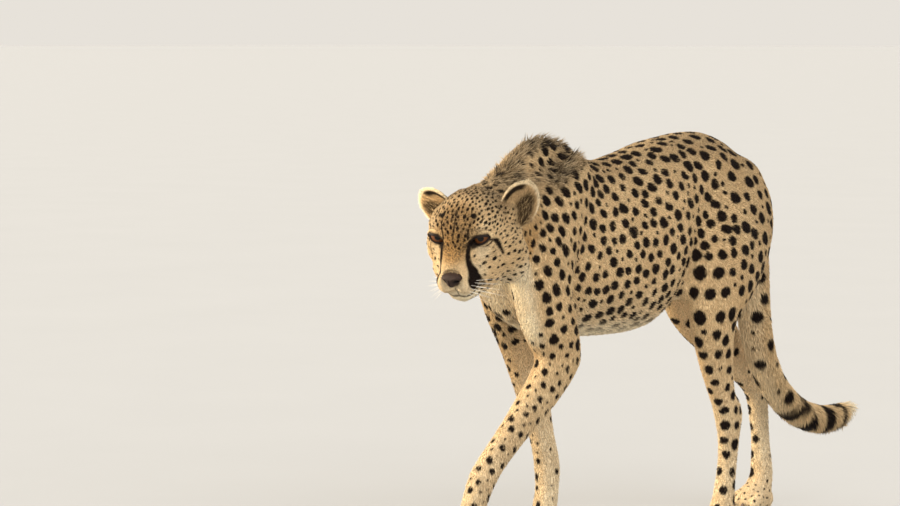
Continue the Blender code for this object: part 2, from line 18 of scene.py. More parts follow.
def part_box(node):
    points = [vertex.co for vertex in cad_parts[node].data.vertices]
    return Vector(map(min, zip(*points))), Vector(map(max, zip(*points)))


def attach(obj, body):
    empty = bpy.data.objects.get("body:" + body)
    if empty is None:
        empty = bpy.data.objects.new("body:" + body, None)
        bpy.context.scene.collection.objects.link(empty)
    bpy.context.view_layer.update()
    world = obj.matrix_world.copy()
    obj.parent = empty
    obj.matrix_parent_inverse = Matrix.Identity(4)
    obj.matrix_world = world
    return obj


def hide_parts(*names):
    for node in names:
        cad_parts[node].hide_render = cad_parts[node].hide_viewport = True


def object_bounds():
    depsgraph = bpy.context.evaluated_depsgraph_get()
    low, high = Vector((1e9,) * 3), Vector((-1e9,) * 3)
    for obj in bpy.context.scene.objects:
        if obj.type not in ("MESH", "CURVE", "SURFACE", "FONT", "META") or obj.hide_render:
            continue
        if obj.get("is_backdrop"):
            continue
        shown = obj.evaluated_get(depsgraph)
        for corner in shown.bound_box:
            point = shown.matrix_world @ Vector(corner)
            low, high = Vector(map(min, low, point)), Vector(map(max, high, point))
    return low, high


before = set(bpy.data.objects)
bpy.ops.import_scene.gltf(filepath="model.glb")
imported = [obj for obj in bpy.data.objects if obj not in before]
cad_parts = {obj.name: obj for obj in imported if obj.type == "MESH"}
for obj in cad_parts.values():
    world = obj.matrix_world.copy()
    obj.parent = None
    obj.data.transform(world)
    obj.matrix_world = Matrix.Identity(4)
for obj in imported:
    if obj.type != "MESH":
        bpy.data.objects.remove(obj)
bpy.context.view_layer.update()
chance = np.random.default_rng(41)
TURN = 2 * math.pi

# The head's own frame: x to its left, y back, z up, from midway between the fronts of the eyes.
HEAD_YAW = 16.5  # degrees to the animal's left
HEAD_PITCH = 26.0  # degrees down
EYE_SPREAD = 0.0380  # from the middle line to each eye
EYE_DEPTH = 0.0150
EYE_RADIUS = 0.0162
GAZE_LEFT = 11.0  # degrees that both eyes look to the left
GAZE_UP = 13.0  # degrees that they look up against the lowered head
IRIS_ANGLE = 1.02  # radians from the line of sight
PUPIL_ANGLE = 0.33
CORNEA_HEIGHT = 0.0009
EYE_INSET = 0.0003  # how far the ball stays inside its solid
EARS = {
    "left": ((0.062, 0.076, -0.008), 24, 34, 36),
    "right": ((-0.050, 0.082, -0.010), 54, 30, 28),
}  # root in the head's frame, then degrees out, back and turned
EAR_HEIGHT = 0.068
EAR_HALF_WIDTH = 0.030
EAR_HOLLOW = ((0.36, 0, 0.34), 0.36, 0.66)  # middle of its dark tuft, full and gone, as shares of width and height
NOSE_PLACE = (0.0, -0.0465, -0.0480)
NOSE_RADII = (0.0175, 0.0125, 0.0115)
NOSE_TILT = -18.0  # degrees
NOSE_TAPER = 0.42
NOSE_NARROWED = 0.84  # the leather's width as a share of its solid's
NOSE_GROOVE = 0.0009

# Dents and swellings of the leather on each side: across, up, width, height, slant.
NOSTRIL = (0.0088, -0.0014, 0.0040, 0.0031, 0.35)
NOSE_SLIT = (0.0140, -0.0010, 0.0030, 0.0013, 0.0)
NOSE_WING = (0.0105, 0.0035, 0.0045, 0.0030, 0.0)

# The lids: an almond with its outer corner raised and its inner corner drawn out as the tear duct.
LID_HALF_WIDTH = 0.0150
LID_HALF_OPENING = 0.0068
LID_TILT = 13.0  # degrees
LID_REACH = 0.0044  # half of how far each lid runs from its edge back under the fur
LID_THICKNESS = 0.0008
RIM_WIDTH = 0.0019
RIM_HEIGHT = 0.0010
LID_STEPS = 72  # points round an eye
LID_SIDES = 10  # points round the section of a rim or a lid
DUCT_LENGTH = 0.0055
DUCT_DROP = 0.0030
DUCT_DEPTH = -0.0020
MOUTH_LEVEL = -0.083  # where the lips meet under the nose
MOUTH_HALF_WIDTH = 0.90 * EYE_SPREAD
MOUTH_RISE = 0.012  # from the middle of the lips to their corners

# The tear line from the eye's inner corner and the cheek line from its outer one, as steps out and up.
TEAR_COURSE = ((0.0, -0.004), (-0.001, -0.016), (0.001, -0.030), (0.005, -0.044), (0.009, -0.058))
CHEEK_COURSE = ((-0.001, 0.0), (0.001, -0.005), (0.004, -0.013), (0.008, -0.025), (0.011, -0.038))
TEAR_WIDTHS = (0.0034, 0.0032, 0.0036, 0.0050, 0.0060)
CHEEK_WIDTHS = (0.0016, 0.0019, 0.0022, 0.0018)
LIP_WIDTHS = (0.0014, 0.0017, 0.0022)
WRINKLE_GAP = 0.0042  # from one fold under the eye to the next
STREAK_GAP = 0.0040  # from one break of the tear line to the next, by the mouth
WHISKER_GAP = (0.0050, 0.0052)  # between whisker dots, across and up
WHISKER_ROOT = (0.0235, -0.0460, -0.0560)  # of the foremost of the top row
WHISKER_STEP = (0.0025, 0.0065)  # out and back from one to the next in a row
WHISKER_ROWS = 0.0055  # from one row down to the next

# Lines drawn on the face: how dark, and how soft at the edge.
FACE_MARKS = (
    ("tear", 1.0, 0.0009),
    ("cheek", 1.0, 0.0009),
    ("lids", 0.94, 0.0014),
    ("brow", 0.98, 0.0009),
    ("forehead", 0.85, 0.0009),
    ("philtrum", 0.70, 0.0006),
)
FOREHEAD_SPOT = (0.72 * EYE_SPREAD, 0.034)
FOREHEAD_SPOT_RADIUS = 0.0052
FLATTENED = np.array((1.0, 0.15, 1.0))  # marks reach deeper than across, so that folds don't break them

# Places of the left half of the face: middle, and the distances from it at which it is full and gone.
FACE_PLACES = {
    "muzzle": ((0.010, -0.040, -0.074), 0.020, 0.042),
    "chin": ((0.0, -0.020, -0.095), 0.022, 0.040),
    "under_eye": ((0.041, -0.002, -0.020), 0.006, 0.020),
    "beside_nose": ((0.034, -0.020, -0.045), 0.008, 0.026),
    "over_eye": ((0.042, 0.010, 0.024), 0.005, 0.016),
    "bridge": ((0.0, -0.022, -0.004), 0.012, 0.034),
    "brow": ((0.0, 0.005, 0.024), 0.020, 0.050),
    # Painted shade round the eyes, laid on in the ticked tone to match the shade among the tufts.
    "painted_lid_shade": ((EYE_SPREAD, -0.002, 0.0), 0.018, 0.026),
    "nose_back": ((0.0, -0.045, -0.034), 0.008, 0.020),
    # Painted shade in the folds under the eye.
    "fold_shade": ((0.049, 0.004, -0.027), 0.008, 0.019),
    "whisker_rows": ((0.022, -0.046, -0.064), 0.010, 0.018),
    "short_muzzle": ((0.0, -0.045, -0.060), 0.030, 0.052),
    "short_lids": ((0.0375, -0.002, -0.001), 0.021, 0.032),
    "long_cheek": ((0.066, 0.045, -0.055), 0.030, 0.060),
    "unspotted_muzzle": ((0.0, -0.045, -0.050), 0.045, 0.052),
    "unspotted_lids": ((0.0385, 0.0, -0.002), 0.018, 0.024),
    "few_spots": ((EYE_SPREAD, 0.0, -0.018), 0.014, 0.024),
    "socket": ((EYE_SPREAD, EYE_DEPTH, 0.0), EYE_RADIUS + 0.0016, EYE_RADIUS + 0.0030),
}

SIDES = {"left": 1, "right": -1}
LEGS = ("fore_left", "fore_right", "hind_left", "hind_right")
FLESH = (
    ["trunk", "neck", "head", "ear_left", "ear_right"]
    + ["leg_" + leg for leg in LEGS]
    + ["paw_" + leg for leg in LEGS]
    + ["tail_root", "tail_middle", "tail_tip"]
)

SEAL = 0.00045  # how far each solid is grown, so that the cuts between them close
ABOVE_FLOOR = 0.0002  # the skin and its tufts stop this far over the floor
SKIN_GRID = 0.0019
BODY_SETTLE = 70  # rounds of smoothing
HEAD_SETTLE = 5
SKIN_TRIANGLES = 192000
TUFT_PIECES = 7
TUFTS_PER_PIECE = 33200

# Coat by part: tuft length, tuft width, height of the tips over the skin, coat depth, and how closely the
# tufts stand against those of the other parts.
COAT = {
    "trunk": (0.0064, 0.00150, 0.0016, 0.0030, 26),
    "neck": (0.0105, 0.00130, 0.0024, 0.0032, 27),
    "head": (0.0048, 0.00078, 0.0010, 0.0012, 90),
    "ear_left": (0.0060, 0.00075, 0.0009, 0.0002, 80),
    "ear_right": (0.0060, 0.00075, 0.0009, 0.0002, 80),
    "leg_fore": (0.0080, 0.00120, 0.0016, 0.0022, 24),
    "leg_hind": (0.0066, 0.00125, 0.0015, 0.0026, 25),
    "paw": (0.0055, 0.00090, 0.0011, 0.0012, 40),
    "tail_root": (0.0150, 0.00150, 0.0030, 0.0040, 24),
    "tail_middle": (0.0170, 0.00150, 0.0034, 0.0050, 28),
    "tail_tip": (0.0210, 0.00150, 0.0042, 0.0060, 36),
}
COAT_COLUMNS = ("length", "width", "rise", "depth", "density")

# What the mane, the belly and each ear's tuft add to the coat: length, height of the tips, stray angle.
MANE = (0.022, 0.0150, 0.24)
BELLY = (0.008, 0.0020, 0.08)
EAR_TUFT = (0.0080, 0.0030, 0.25)
MANE_ON_TRUNK = 0.235  # how far the mane runs back over the trunk
MANE_DEPTH = 0.0125
MANE_HEIGHTS = (0.16, 0.08)  # below the model's top, where the mane starts and where it is full
BEHIND_LEATHER = 0.0065  # how far the skin is set back behind the nose leather
LEATHER_COVERS = (0.0165, 0.0200)  # from the middle of the leather, where that is full and gone
LEATHER_BARES = (0.0125, 0.0155)  # the same for where no coat grows
SOLE_HEIGHTS = (0.004, 0.012)

# Spots by part: radius across, how much longer than wide, closest spacing.
SPOTS = {
    "trunk": (0.0084, 0.98, 0.0190),
    "neck": (0.0056, 1.12, 0.0164),
    "head": (0.0020, 1.45, 0.0068),
    "ear_left": (0.0005, 1.0, 0.030),
    "ear_right": (0.0005, 1.0, 0.030),
    "leg_fore": (0.0053, 1.10, 0.0180),
    "leg_hind": (0.0084, 1.0, 0.0214),
    "paw": (0.0024, 1.0, 0.0130),
    "tail_root": (0.0096, 1.05, 0.0350),
    "tail_middle": (0.0105, 1.05, 0.0360),
    "tail_tip": (0.0080, 1.00, 0.0400),
}
SPOT_TRIES = 42000
# The first half of the tries are large spots and the rest small ones in the gaps: share of the spacing and of
# the radius, and how much of each neighbour's radius is kept free as well.
LARGE_SPOTS = (1.0, 1.0, 0.0)
SMALL_SPOTS = (0.58, 0.42, 0.75)
SPOT_CLEARANCE = 1.14  # least distance between two spots' middles, as a share of their radii together
LARGEST_SPOT = 0.0112
TAIL_RING = 0.050  # from one dark ring of the tail to the next
TAIL_WHITE = 0.028  # length of the white end of the tail
TAIL_RINGED = 0.20  # length of the ringed end

TUFT_FACES = np.array(((0, 3, 1), (0, 2, 3), (0, 1, 2), (3, 4, 1), (3, 2, 4), (1, 4, 2)))
TUFT_WIDEST = 0.42  # share of the length at which a tuft is widest
LOW_ON_TUFT = 0.46  # where a tuft's lower points and its tip take their marks from
HIGH_ON_TUFT = 0.80
TUFT_PATCH = 0.0030  # width of each tuft on the map that the export bakes by


def middle_of(node):
    low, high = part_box(node)
    return (low + high) / 2


def smooth(start, end, value):
    share = np.clip((value - start) / (end - start), 0.0, 1.0)
    return share * share * (3 - 2 * share)


def unit(vectors):
    return vectors / np.maximum(np.linalg.norm(vectors, axis=-1, keepdims=True), 1e-9)


def turn(axis, degrees):
    return Matrix.Rotation(math.radians(degrees), 4, axis)


def head_frame():
    turned = turn("Z", HEAD_YAW) @ turn("X", HEAD_PITCH)
    between = (middle_of("eye_left") + middle_of("eye_right")) / 2
    return Matrix.Translation(between - turned @ Vector((0, EYE_DEPTH, 0))) @ turned


def ear_frame(side):
    root, out, back, turned = EARS[side]
    lean = turn("X", -back) @ turn("Y", SIDES[side] * out) @ turn("Z", SIDES[side] * turned)
    return head_frame() @ Matrix.Translation(root) @ lean


def seen_from(place, points):
    """Points of the row frame in a local frame."""
    inverse = np.array(place.inverted())
    return points @ inverse[:3, :3].T + inverse[:3, 3]


def set_in(place, points):
    """Points of a local frame in the row frame."""
    matrix = np.array(place)
    return points @ matrix[:3, :3].T + matrix[:3, 3]


def mirrored_to_left(in_head):
    return np.column_stack([np.abs(in_head[:, 0]), in_head[:, 1], in_head[:, 2]])


def near(points, centre, inner, outer):
    """1 within the inner distance of the centre, falling to 0 at the outer one."""
    return 1 - smooth(inner, outer, np.linalg.norm(points - np.array(centre), axis=1))


def at_face(place, left):
    """How much points of the face, mirrored to its left, belong to one of its places."""
    return near(left, *FACE_PLACES[place])


def numbers(items, name, width, kind=np.float32):
    found = np.empty(len(items) * width, kind)
    items.foreach_get(name, found)
    return found.reshape(-1, width) if width > 1 else found


def points_of(mesh):
    """The places of a mesh's points, and their normals."""
    return [numbers(mesh.vertices, name, 3).astype(float) for name in ("co", "normal")]


def move_points(mesh, places):
    mesh.vertices.foreach_set("co", places.astype(np.float32).ravel())
    mesh.update()


def put_in_scene(name, data):
    thing = bpy.data.objects.new(name, data)
    bpy.context.scene.collection.objects.link(thing)
    return thing


def place_mesh(name, points, faces):
    """A mesh object from arrays of points and of faces that all have the same number of corners."""
    mesh = bpy.data.meshes.new(name)
    corners = faces.shape[1]
    mesh.vertices.add(len(points))
    mesh.vertices.foreach_set("co", points.astype(np.float32).ravel())
    mesh.loops.add(faces.size)
    mesh.loops.foreach_set("vertex_index", faces.astype(np.int32).ravel())
    mesh.polygons.add(len(faces))
    mesh.polygons.foreach_set("loop_start", np.arange(0, faces.size, corners, dtype=np.int32))
    mesh.update(calc_edges=True)
    mesh.shade_smooth()
    return put_in_scene(name, mesh)


def paint_points(mesh, name, values):
    """Stores three or four numbers for each point, which the materials read."""
    full = np.ones((len(values), 4), np.float32)
    full[:, : values.shape[1]] = values
    mesh.attributes.new(name, "FLOAT_COLOR", "POINT").data.foreach_set("color", full.ravel())


def give_map(mesh, corner_uv):
    """The map that the export bakes by, from one place for each corner of each face."""
    layer = mesh.uv_layers.new(name="OFBake")
    layer.uv.foreach_set("vector", corner_uv.astype(np.float32).ravel())


def solid_finder(nodes):
    """What is nearest to a point, or met first by a ray, among these nodes, and whose each face is."""
    points = []
    faces = []
    owner = []
    for index, name in enumerate(nodes):
        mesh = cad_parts[name].data
        start = len(points)
        points += [vertex.co.copy() for vertex in mesh.vertices]
        faces += [[start + corner for corner in polygon.vertices] for polygon in mesh.polygons]
        owner += [index] * len(mesh.polygons)
    return BVHTree.FromPolygons(points, faces), owner


def long_axis(node):
    """The middle of a node's points, their steps from it and the direction in which they spread most."""
    corners = np.array([vertex.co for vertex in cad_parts[node].data.vertices])
    middle = corners.mean(0)
    return middle, corners - middle, np.linalg.svd(corners - middle)[2][0]


def with_modifiers(thing):
    bpy.context.view_layer.update()
    graph = bpy.context.evaluated_depsgraph_get()
    mesh = bpy.data.meshes.new_from_object(thing.evaluated_get(graph))
    thing.modifiers.clear()
    thing.data = mesh
    return thing


# ---------------------------------------------------------------- the skin


def join_flesh():
    """The solids of flesh and the nose as one mesh, each grown a little so that they overlap."""
    joined = bmesh.new()
    for name in FLESH + ["nose"]:
        part = bmesh.new()
        part.from_mesh(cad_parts[name].data)
        bmesh.ops.remove_doubles(part, verts=part.verts, dist=0.000002)
        part.normal_update()
        grown = [vertex.co + vertex.normal * SEAL for vertex in part.verts]
        for vertex, place in zip(part.verts, grown):
            vertex.co = place
        mesh = bpy.data.meshes.new("grown")
        part.to_mesh(mesh)
        part.free()
        joined.from_mesh(mesh)
        bpy.data.meshes.remove(mesh)
    mesh = bpy.data.meshes.new("skin")
    joined.to_mesh(mesh)
    joined.free()
    return put_in_scene("skin", mesh)


def settle(mesh, share, times):
    """Moves each point towards the middle of its neighbours by its own share, again and again."""
    places = numbers(mesh.vertices, "co", 3).astype(float)
    ends = numbers(mesh.edges, "vertices", 2, np.int32)
    count = len(places)
    degree = np.bincount(ends.ravel(), minlength=count)[:, None]
    first, second = ends[:, 0], ends[:, 1]
    for _ in range(times):
        total = np.empty_like(places)
        for axis in range(3):
            column = places[:, axis]
            total[:, axis] = np.bincount(first, column[second], count)
            total[:, axis] += np.bincount(second, column[first], count)
        places += share[:, None] * (total / degree - places)
    move_points(mesh, places)


def even_out(values, ends, times):
    """Values of the points, each mixed with its neighbours'."""
    count = len(values)
    degree = np.bincount(ends.ravel(), minlength=count)
    for _ in range(times):
        for column in range(values.shape[1]):
            own = values[:, column]
            total = np.bincount(ends[:, 0], own[ends[:, 1]], count)
            total += np.bincount(ends[:, 1], own[ends[:, 0]], count)
            values[:, column] = 0.5 * own + 0.5 * total / degree
    return values


def drape_skin():
    """One closed surface over all the flesh: fine on the head, moderate on the paws, coarser elsewhere."""
    skin = join_flesh()
    remesh = skin.modifiers.new("one_surface", "REMESH")
    remesh.mode = "VOXEL"
    remesh.voxel_size = SKIN_GRID
    with_modifiers(skin)
    places = numbers(skin.data.vertices, "co", 3)
    on_head = near(seen_from(HEAD, places), (0, 0.03, -0.02), 0.150, 0.185)
    on_paw = 1 - smooth(0.06, 0.12, places[:, 2])
    settle(skin.data, 0.5 * np.ones(len(places)), HEAD_SETTLE)
    settle(skin.data, 0.5 * (1 - on_head) * (1 - 0.8 * on_paw), BODY_SETTLE)
    keep = np.maximum(np.maximum(on_head, 0.7 * on_paw), 0.6)
    group = skin.vertex_groups.new(name="keep")
    for level in range(1, 11):
        chosen = np.nonzero(np.round(keep * 10) == level)[0]
        group.add(chosen.tolist(), level / 10 * 0.95, "REPLACE")
    thin = skin.modifiers.new("thin_out", "DECIMATE")
    thin.ratio = SKIN_TRIANGLES / (2 * len(skin.data.polygons))
    thin.vertex_group = "keep"
    thin.invert_vertex_group = True
    thin.vertex_group_factor = 0.01  # high enough for even triangles, which the spots need
    thin.use_collapse_triangulate = True
    with_modifiers(skin)
    skin.vertex_groups.clear()
    return skin


def shares_of_parts(places, ends):
    """For each point, how much it belongs to each part of flesh, blended over the borders."""
    finder, owner = solid_finder(FLESH)
    shares = np.zeros((len(places), len(FLESH)))
    for index, place in enumerate(places):
        shares[index, owner[finder.find_nearest(place)[2]]] = 1
    shares = even_out(shares, ends, 6)
    return {name: shares[:, column] for column, name in enumerate(FLESH)}


def along_table(table, column, parts):
    """One column of a table by part, blended over the skin. Pairs of legs share a row, and all paws one."""
    total = 0
    for name, share in parts.items():
        kind = "paw" if name.startswith("paw") else name
        kind = kind if kind in table else kind.rsplit("_", 1)[0]
        total = total + share * table[kind][column]
    return total


# ---------------------------------------------------------------- the lie and the lengths of the coat


def box_share(node, places, axis):
    low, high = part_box(node)
    return (places[:, axis] - low[axis]) / (high[axis] - low[axis])


def blended(*weighted):
    return sum(weight[:, None] * np.array(direction)[None, :] for weight, direction in weighted)


def lie_of_coat(places, normals, parts):
    """The way the hair points at each point of the skin, along its surface."""
    back = box_share("trunk", places, 1)
    level = box_share("trunk", places, 2)
    chest = 1 - smooth(0.05, 0.30, back)
    rump = smooth(0.70, 0.95, back)
    flank = (1 - chest) * (1 - rump)
    under = 1 - smooth(0.05, 0.35, level)
    trunk = blended(
        (chest, (0, 0.35, -1.0)), (flank * (1 - under), (0, 1.0, -0.42)), (flank * under, (0, 1.0, 0.0)),
        (rump, (0, 0.55, -0.9)),
    )
    ones = np.ones(len(places))
    neck = blended((ones, (-0.10, 0.85, -0.55)))
    in_head = seen_from(HEAD, places)
    from_nose = unit(in_head - np.array((0, -0.058, -0.046)))
    from_nose[:, 1] += 0.45 + 0.5 * smooth(0.02, 0.09, in_head[:, 1])
    behind_jaw = smooth(0.03, 0.08, in_head[:, 1]) * (1 - smooth(-0.02, 0.03, in_head[:, 2]))
    from_nose[:, 2] -= 0.55 * behind_jaw
    turned = np.array(HEAD)[:3, :3]
    head = from_nose @ turned.T
    flows = {"trunk": trunk, "neck": neck, "head": head}
    total = sum(parts[name][:, None] * flow for name, flow in flows.items())
    for side in SIDES:
        up = np.array(ear_frame(side).col[2])[:3]
        total += parts["ear_" + side][:, None] * up
    for leg in LEGS:
        share = parts["leg_" + leg][:, None]
        high = smooth(0.5, 0.95, box_share("leg_" + leg, places, 2))
        slope = 0.45 if leg.startswith("hind") else 0.15
        total += share * blended((ones, (0, 0, -1)), (high, (0, slope, 0)))
        total += parts["paw_" + leg][:, None] * np.array((0, -0.75, -0.6))
    total += parts["tail_root"][:, None] * np.array((0, 0.45, -0.85))
    total += parts["tail_middle"][:, None] * np.array((0, 0.12, -1.0))
    total += parts["tail_tip"][:, None] * np.array((0, 0.45, -0.9))
    flat = total - (total * normals).sum(1)[:, None] * normals
    return unit(flat)


def mane_share(places, normals, parts):
    """The raised mane: over the nape and the withers, on top only."""
    neck_low, neck_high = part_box("neck")
    start = neck_low.y + 0.25 * (neck_high.y - neck_low.y)
    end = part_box("trunk")[0].y + MANE_ON_TRUNK
    along = smooth(start, start + 0.07, places[:, 1]) * (1 - smooth(end - 0.045, end, places[:, 1]))
    on_top = smooth(0.50, 0.88, normals[:, 2])
    start_height, full_height = (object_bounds()[1].z - below for below in MANE_HEIGHTS)
    high = smooth(start_height, full_height, places[:, 2])
    return along * on_top * high * (parts["trunk"] + parts["neck"])


# ---------------------------------------------------------------- markings


def lid_outline(count):
    """The edge of the left eye's opening, from its outer corner over the top, as steps across and up."""
    angle = np.arange(count) / count * TURN
    inner = np.clip(-np.cos(angle), 0, 1) ** 5
    across = LID_HALF_WIDTH * np.cos(angle) - DUCT_LENGTH * inner
    up = LID_HALF_OPENING * np.sin(angle) - DUCT_DROP * inner
    cosine, sine = math.cos(math.radians(LID_TILT)), math.sin(math.radians(LID_TILT))
    return np.column_stack([EYE_SPREAD + across * cosine - up * sine, across * sine + up * cosine])


def on_face(across, up):
    """The place on the front of the head's solid this far from its middle line and over the eyes."""
    start = HEAD @ Vector((across, -0.2, up))
    hit = HEAD_SOLID.ray_cast(start, HEAD.to_3x3() @ Vector((0, 1, 0)))[0]
    return tuple(HEAD.inverted() @ hit)


def drawn(knots, widths, count=14):
    """A mark laid on the face through the knots, with its half width along it."""
    path = [on_face(across, up) for across, up in spline(knots, count)]
    steps = np.linspace(0, 1, len(widths))
    return path, np.interp(np.linspace(0, 1, count), steps, widths)


def lid_path():
    """The edge of the left eye's lids on its ball, with the half width of the dark fur round it."""
    outline = lid_outline(20)
    outline = np.vstack([outline, outline[:1]])
    reach = ((outline - np.array((EYE_SPREAD, 0.0))) ** 2).sum(1)
    depth = EYE_DEPTH - np.sqrt(np.maximum(EYE_RADIUS**2 - reach, 0.0))
    path = np.column_stack([outline[:, 0], np.minimum(depth, 0.004), outline[:, 1]])
    return path, np.full(len(path), 0.0034)


def face_lines():
    """The marks of the left side of the face, each running from one landmark to the next."""
    outline = lid_outline(LID_STEPS)
    outer = outline[0]
    duct = outline[LID_STEPS // 2]
    corner = EYE_SPREAD - LID_HALF_WIDTH + 0.001
    middle_of_lips = (0.0, MOUTH_LEVEL)
    mouth_corner = np.array((MOUTH_HALF_WIDTH, MOUTH_LEVEL + MOUTH_RISE))
    tear = [(corner + out, up) for out, up in TEAR_COURSE] + [mouth_corner]
    cheek = [outer + step for step in CHEEK_COURSE]
    brow = (duct + (0.003, 0.013), duct + (0.004, 0.023), duct + (0.007, 0.034))
    return {
        "tear": drawn(tear, TEAR_WIDTHS, 24),
        "cheek": drawn(cheek, CHEEK_WIDTHS),
        "brow": drawn(brow, (0.0022, 0.0017, 0.0013)),
        "forehead": drawn(((0.0, 0.008), (0.0, 0.024), (0.0, 0.040)), (0.0008, 0.0016, 0.0014)),
        "lips": drawn((middle_of_lips, (0.5 * MOUTH_HALF_WIDTH, MOUTH_LEVEL), mouth_corner), LIP_WIDTHS),
        "philtrum": drawn(((0.0, NOSE_PLACE[2] - 0.013), middle_of_lips), (0.0009, 0.0009)),
        "lids": lid_path(),
        "spot": on_face(*FOREHEAD_SPOT),
    }


def stroke(points, path, widths, edge):
    """1 on a drawn line with the given half widths, 0 off it, with a soft edge."""
    best = np.full(len(points), 1.0)
    points = points * FLATTENED
    path = np.array(path) * FLATTENED
    for first, second, start, end in zip(path[:-1], path[1:], widths[:-1], widths[1:]):
        first = np.array(first)
        step = np.array(second) - first
        share = np.clip(((points - first) @ step) / (step @ step), 0, 1)
        gap = np.linalg.norm(points - first - share[:, None] * step, axis=1)
        best = np.minimum(best, gap - (start + (end - start) * share))
    return 1 - smooth(-edge, edge, best)


def surface_samples(surface, weights, count):
    """Points spread over the skin: which triangle each lies on, and its place in it."""
    corners, places = surface
    first, second, third = (places[corners[:, k]] for k in range(3))
    area = np.linalg.norm(np.cross(second - first, third - first), axis=1) / 2
    running = np.cumsum(area * weights[corners].mean(1))
    marks = (np.arange(count) + chance.random(count)) / count * running[-1]
    chosen = np.searchsorted(running, marks).clip(0, len(corners) - 1)
    chance.shuffle(chosen)
    u = np.sqrt(chance.random(count))
    v = chance.random(count)
    return chosen, np.column_stack([1 - u, u * (1 - v), u * v])


def between(values, corners, chosen, shares):
    """Values of the skin's points, taken at places inside its triangles."""
    picked = values[corners[chosen]]
    if values.ndim == 1:
        return (picked * shares).sum(1)
    return (picked * shares[:, :, None]).sum(1)


def lay_out_spots(surface, coat):
    """Spots at least their own spacing apart, then small ones in the wider gaps."""
    corners, places = surface
    count = SPOT_TRIES
    wanted = 1 / np.maximum(coat["spacing"], 0.005) ** 2 * coat["spot_room"]
    chosen, shares = surface_samples(surface, wanted, count)
    spot = {key: between(coat[key], corners, chosen, shares) for key in ("spacing", "radius", "longer")}
    spot["place"] = between(places, corners, chosen, shares)
    spot["lie"] = unit(between(coat["lie"], corners, chosen, shares))
    size = spot["radius"] * (0.82 + 0.36 * chance.random(count))
    kept = []
    centres = np.empty((count, 3))
    reach = np.empty(count)
    taken = 0
    for index in range(count):
        closer, smaller, kept_free = LARGE_SPOTS if index < count // 2 else SMALL_SPOTS
        own = size[index] * smaller
        away = centres[:taken] - spot["place"][index]
        distance = np.linalg.norm(away, axis=1)
        limit = spot["spacing"][index] * closer + kept_free * reach[:taken]
        along = away @ spot["lie"][index]
        oval = np.sqrt(np.maximum(distance**2 - along**2, 0) + (along / spot["longer"][index]) ** 2)
        if (distance < limit).any() or (oval < SPOT_CLEARANCE * (own + reach[:taken])).any():
            continue
        centres[taken] = spot["place"][index]
        reach[taken] = own
        kept.append(index)
        taken += 1
    kept = np.array(kept)
    finder = KDTree(taken)
    for index in range(taken):
        finder.insert(centres[index], index)
    finder.balance()
    return {
        "finder": finder, "place": centres[:taken], "reach": reach[:taken], "lie": spot["lie"][kept],
        "longer": spot["longer"][kept] * (0.85 + 0.4 * chance.random(taken)),
        "turned": chance.random(taken) * TURN,
    }


def spot_mask(spots, places):
    """1 inside a spot, 0 outside, with an uneven edge."""
    found = np.zeros((len(places), 3), np.int32)
    finder = spots["finder"]
    for row, place in enumerate(places):
        hits = finder.find_n(place, 3)
        found[row] = hits[0][1], hits[1][1], hits[2][1]
    mask = np.zeros(len(places))
    for column in range(3):
        which = found[:, column]
        away = places - spots["place"][which]
        lie = spots["lie"][which]
        along = (away * lie).sum(1)
        across = np.sqrt(np.maximum((away * away).sum(1) - along * along, 0))
        angle = np.arctan2(across, along) + spots["turned"][which]
        uneven = 1 + 0.06 * np.sin(2 * angle) + 0.05 * np.sin(3 * angle)
        size = spots["reach"][which] * uneven
        distance = np.sqrt((along / spots["longer"][which]) ** 2 + across * across) / size
        mask = np.maximum(mask, 1 - smooth(0.90, 1.10, distance))
    return mask


def inner_legs(normals, parts, full):
    """The inner sides of the legs, in full where they face inwards by this much."""
    inwards = {leg: -SIDES[leg.split("_")[1]] * normals[:, 0] for leg in LEGS}
    return sum(parts["leg_" + leg] * smooth(0.1, full, inwards[leg]) for leg in LEGS)


def body_tones(places, normals, parts):
    """Pale, golden and grey-ticked shares of the coat away from the face, the last with painted shade on top."""
    level = box_share("trunk", places, 2)
    back = box_share("trunk", places, 1)
    trunk = parts["trunk"]
    legs = sum(parts["leg_" + leg] for leg in LEGS)
    inner = inner_legs(normals, parts, 0.7)
    low = (1 - smooth(0.05, 0.42, level)) * smooth(0.18, 0.30, back) * 0.40
    belly = trunk * np.maximum(smooth(-0.50, -0.90, normals[:, 2]), low)
    breast = (trunk + parts["neck"]) * smooth(-0.55, -0.88, normals[:, 1]) * (1 - smooth(0.04, 0.12, back))
    throat = parts["neck"] * smooth(-0.40, -0.90, normals[:, 2])
    shin = legs * (1 - smooth(0.10, 0.42, places[:, 2])) * 0.45
    paws = sum(parts["paw_" + leg] for leg in LEGS) * 0.60
    tail = parts["tail_root"] + parts["tail_middle"] + parts["tail_tip"]
    tail_under = tail * smooth(0.1, 0.8, -normals[:, 1]) * 0.45
    tip = np.zeros(len(places))
    on_tip = np.nonzero(parts["tail_tip"] > 0.02)[0]
    tip[on_tip] = 1 - smooth(TAIL_WHITE, TAIL_WHITE + 0.01, left_of_tail(places[on_tip]))
    # The inner sides of the legs are paler and golden: the pale partly their own, the golden painted light shining
    # through them.
    pale = np.clip(belly + breast + throat + shin + paws + tail_under + tip + 0.45 * inner, 0, 1)
    golden = np.clip(0.75 * inner + 0.55 * parts["neck"] * (1 - smooth(-0.2, 0.5, normals[:, 2])), 0, 1)
    ridge = (trunk + parts["neck"]) * smooth(0.55, 0.95, normals[:, 2])
    ridge = ridge * (1 - smooth(0.20, 0.55, back)) * 0.8
    # A darker saddle over the back, partly its own darker coat and partly painted shade on top; the darker top of
    # the haunches is painted shade.
    dark_back_and_shade = trunk * smooth(0.10, 0.85, normals[:, 2]) * smooth(0.50, 0.92, level) * 0.55
    hind_top_shade = (trunk * smooth(0.5, 0.8, back) + legs) * smooth(0.42, 0.60, places[:, 2]) * 0.24
    return pale, golden, np.clip(ridge + dark_back_and_shade + hind_top_shade, 0, 1)


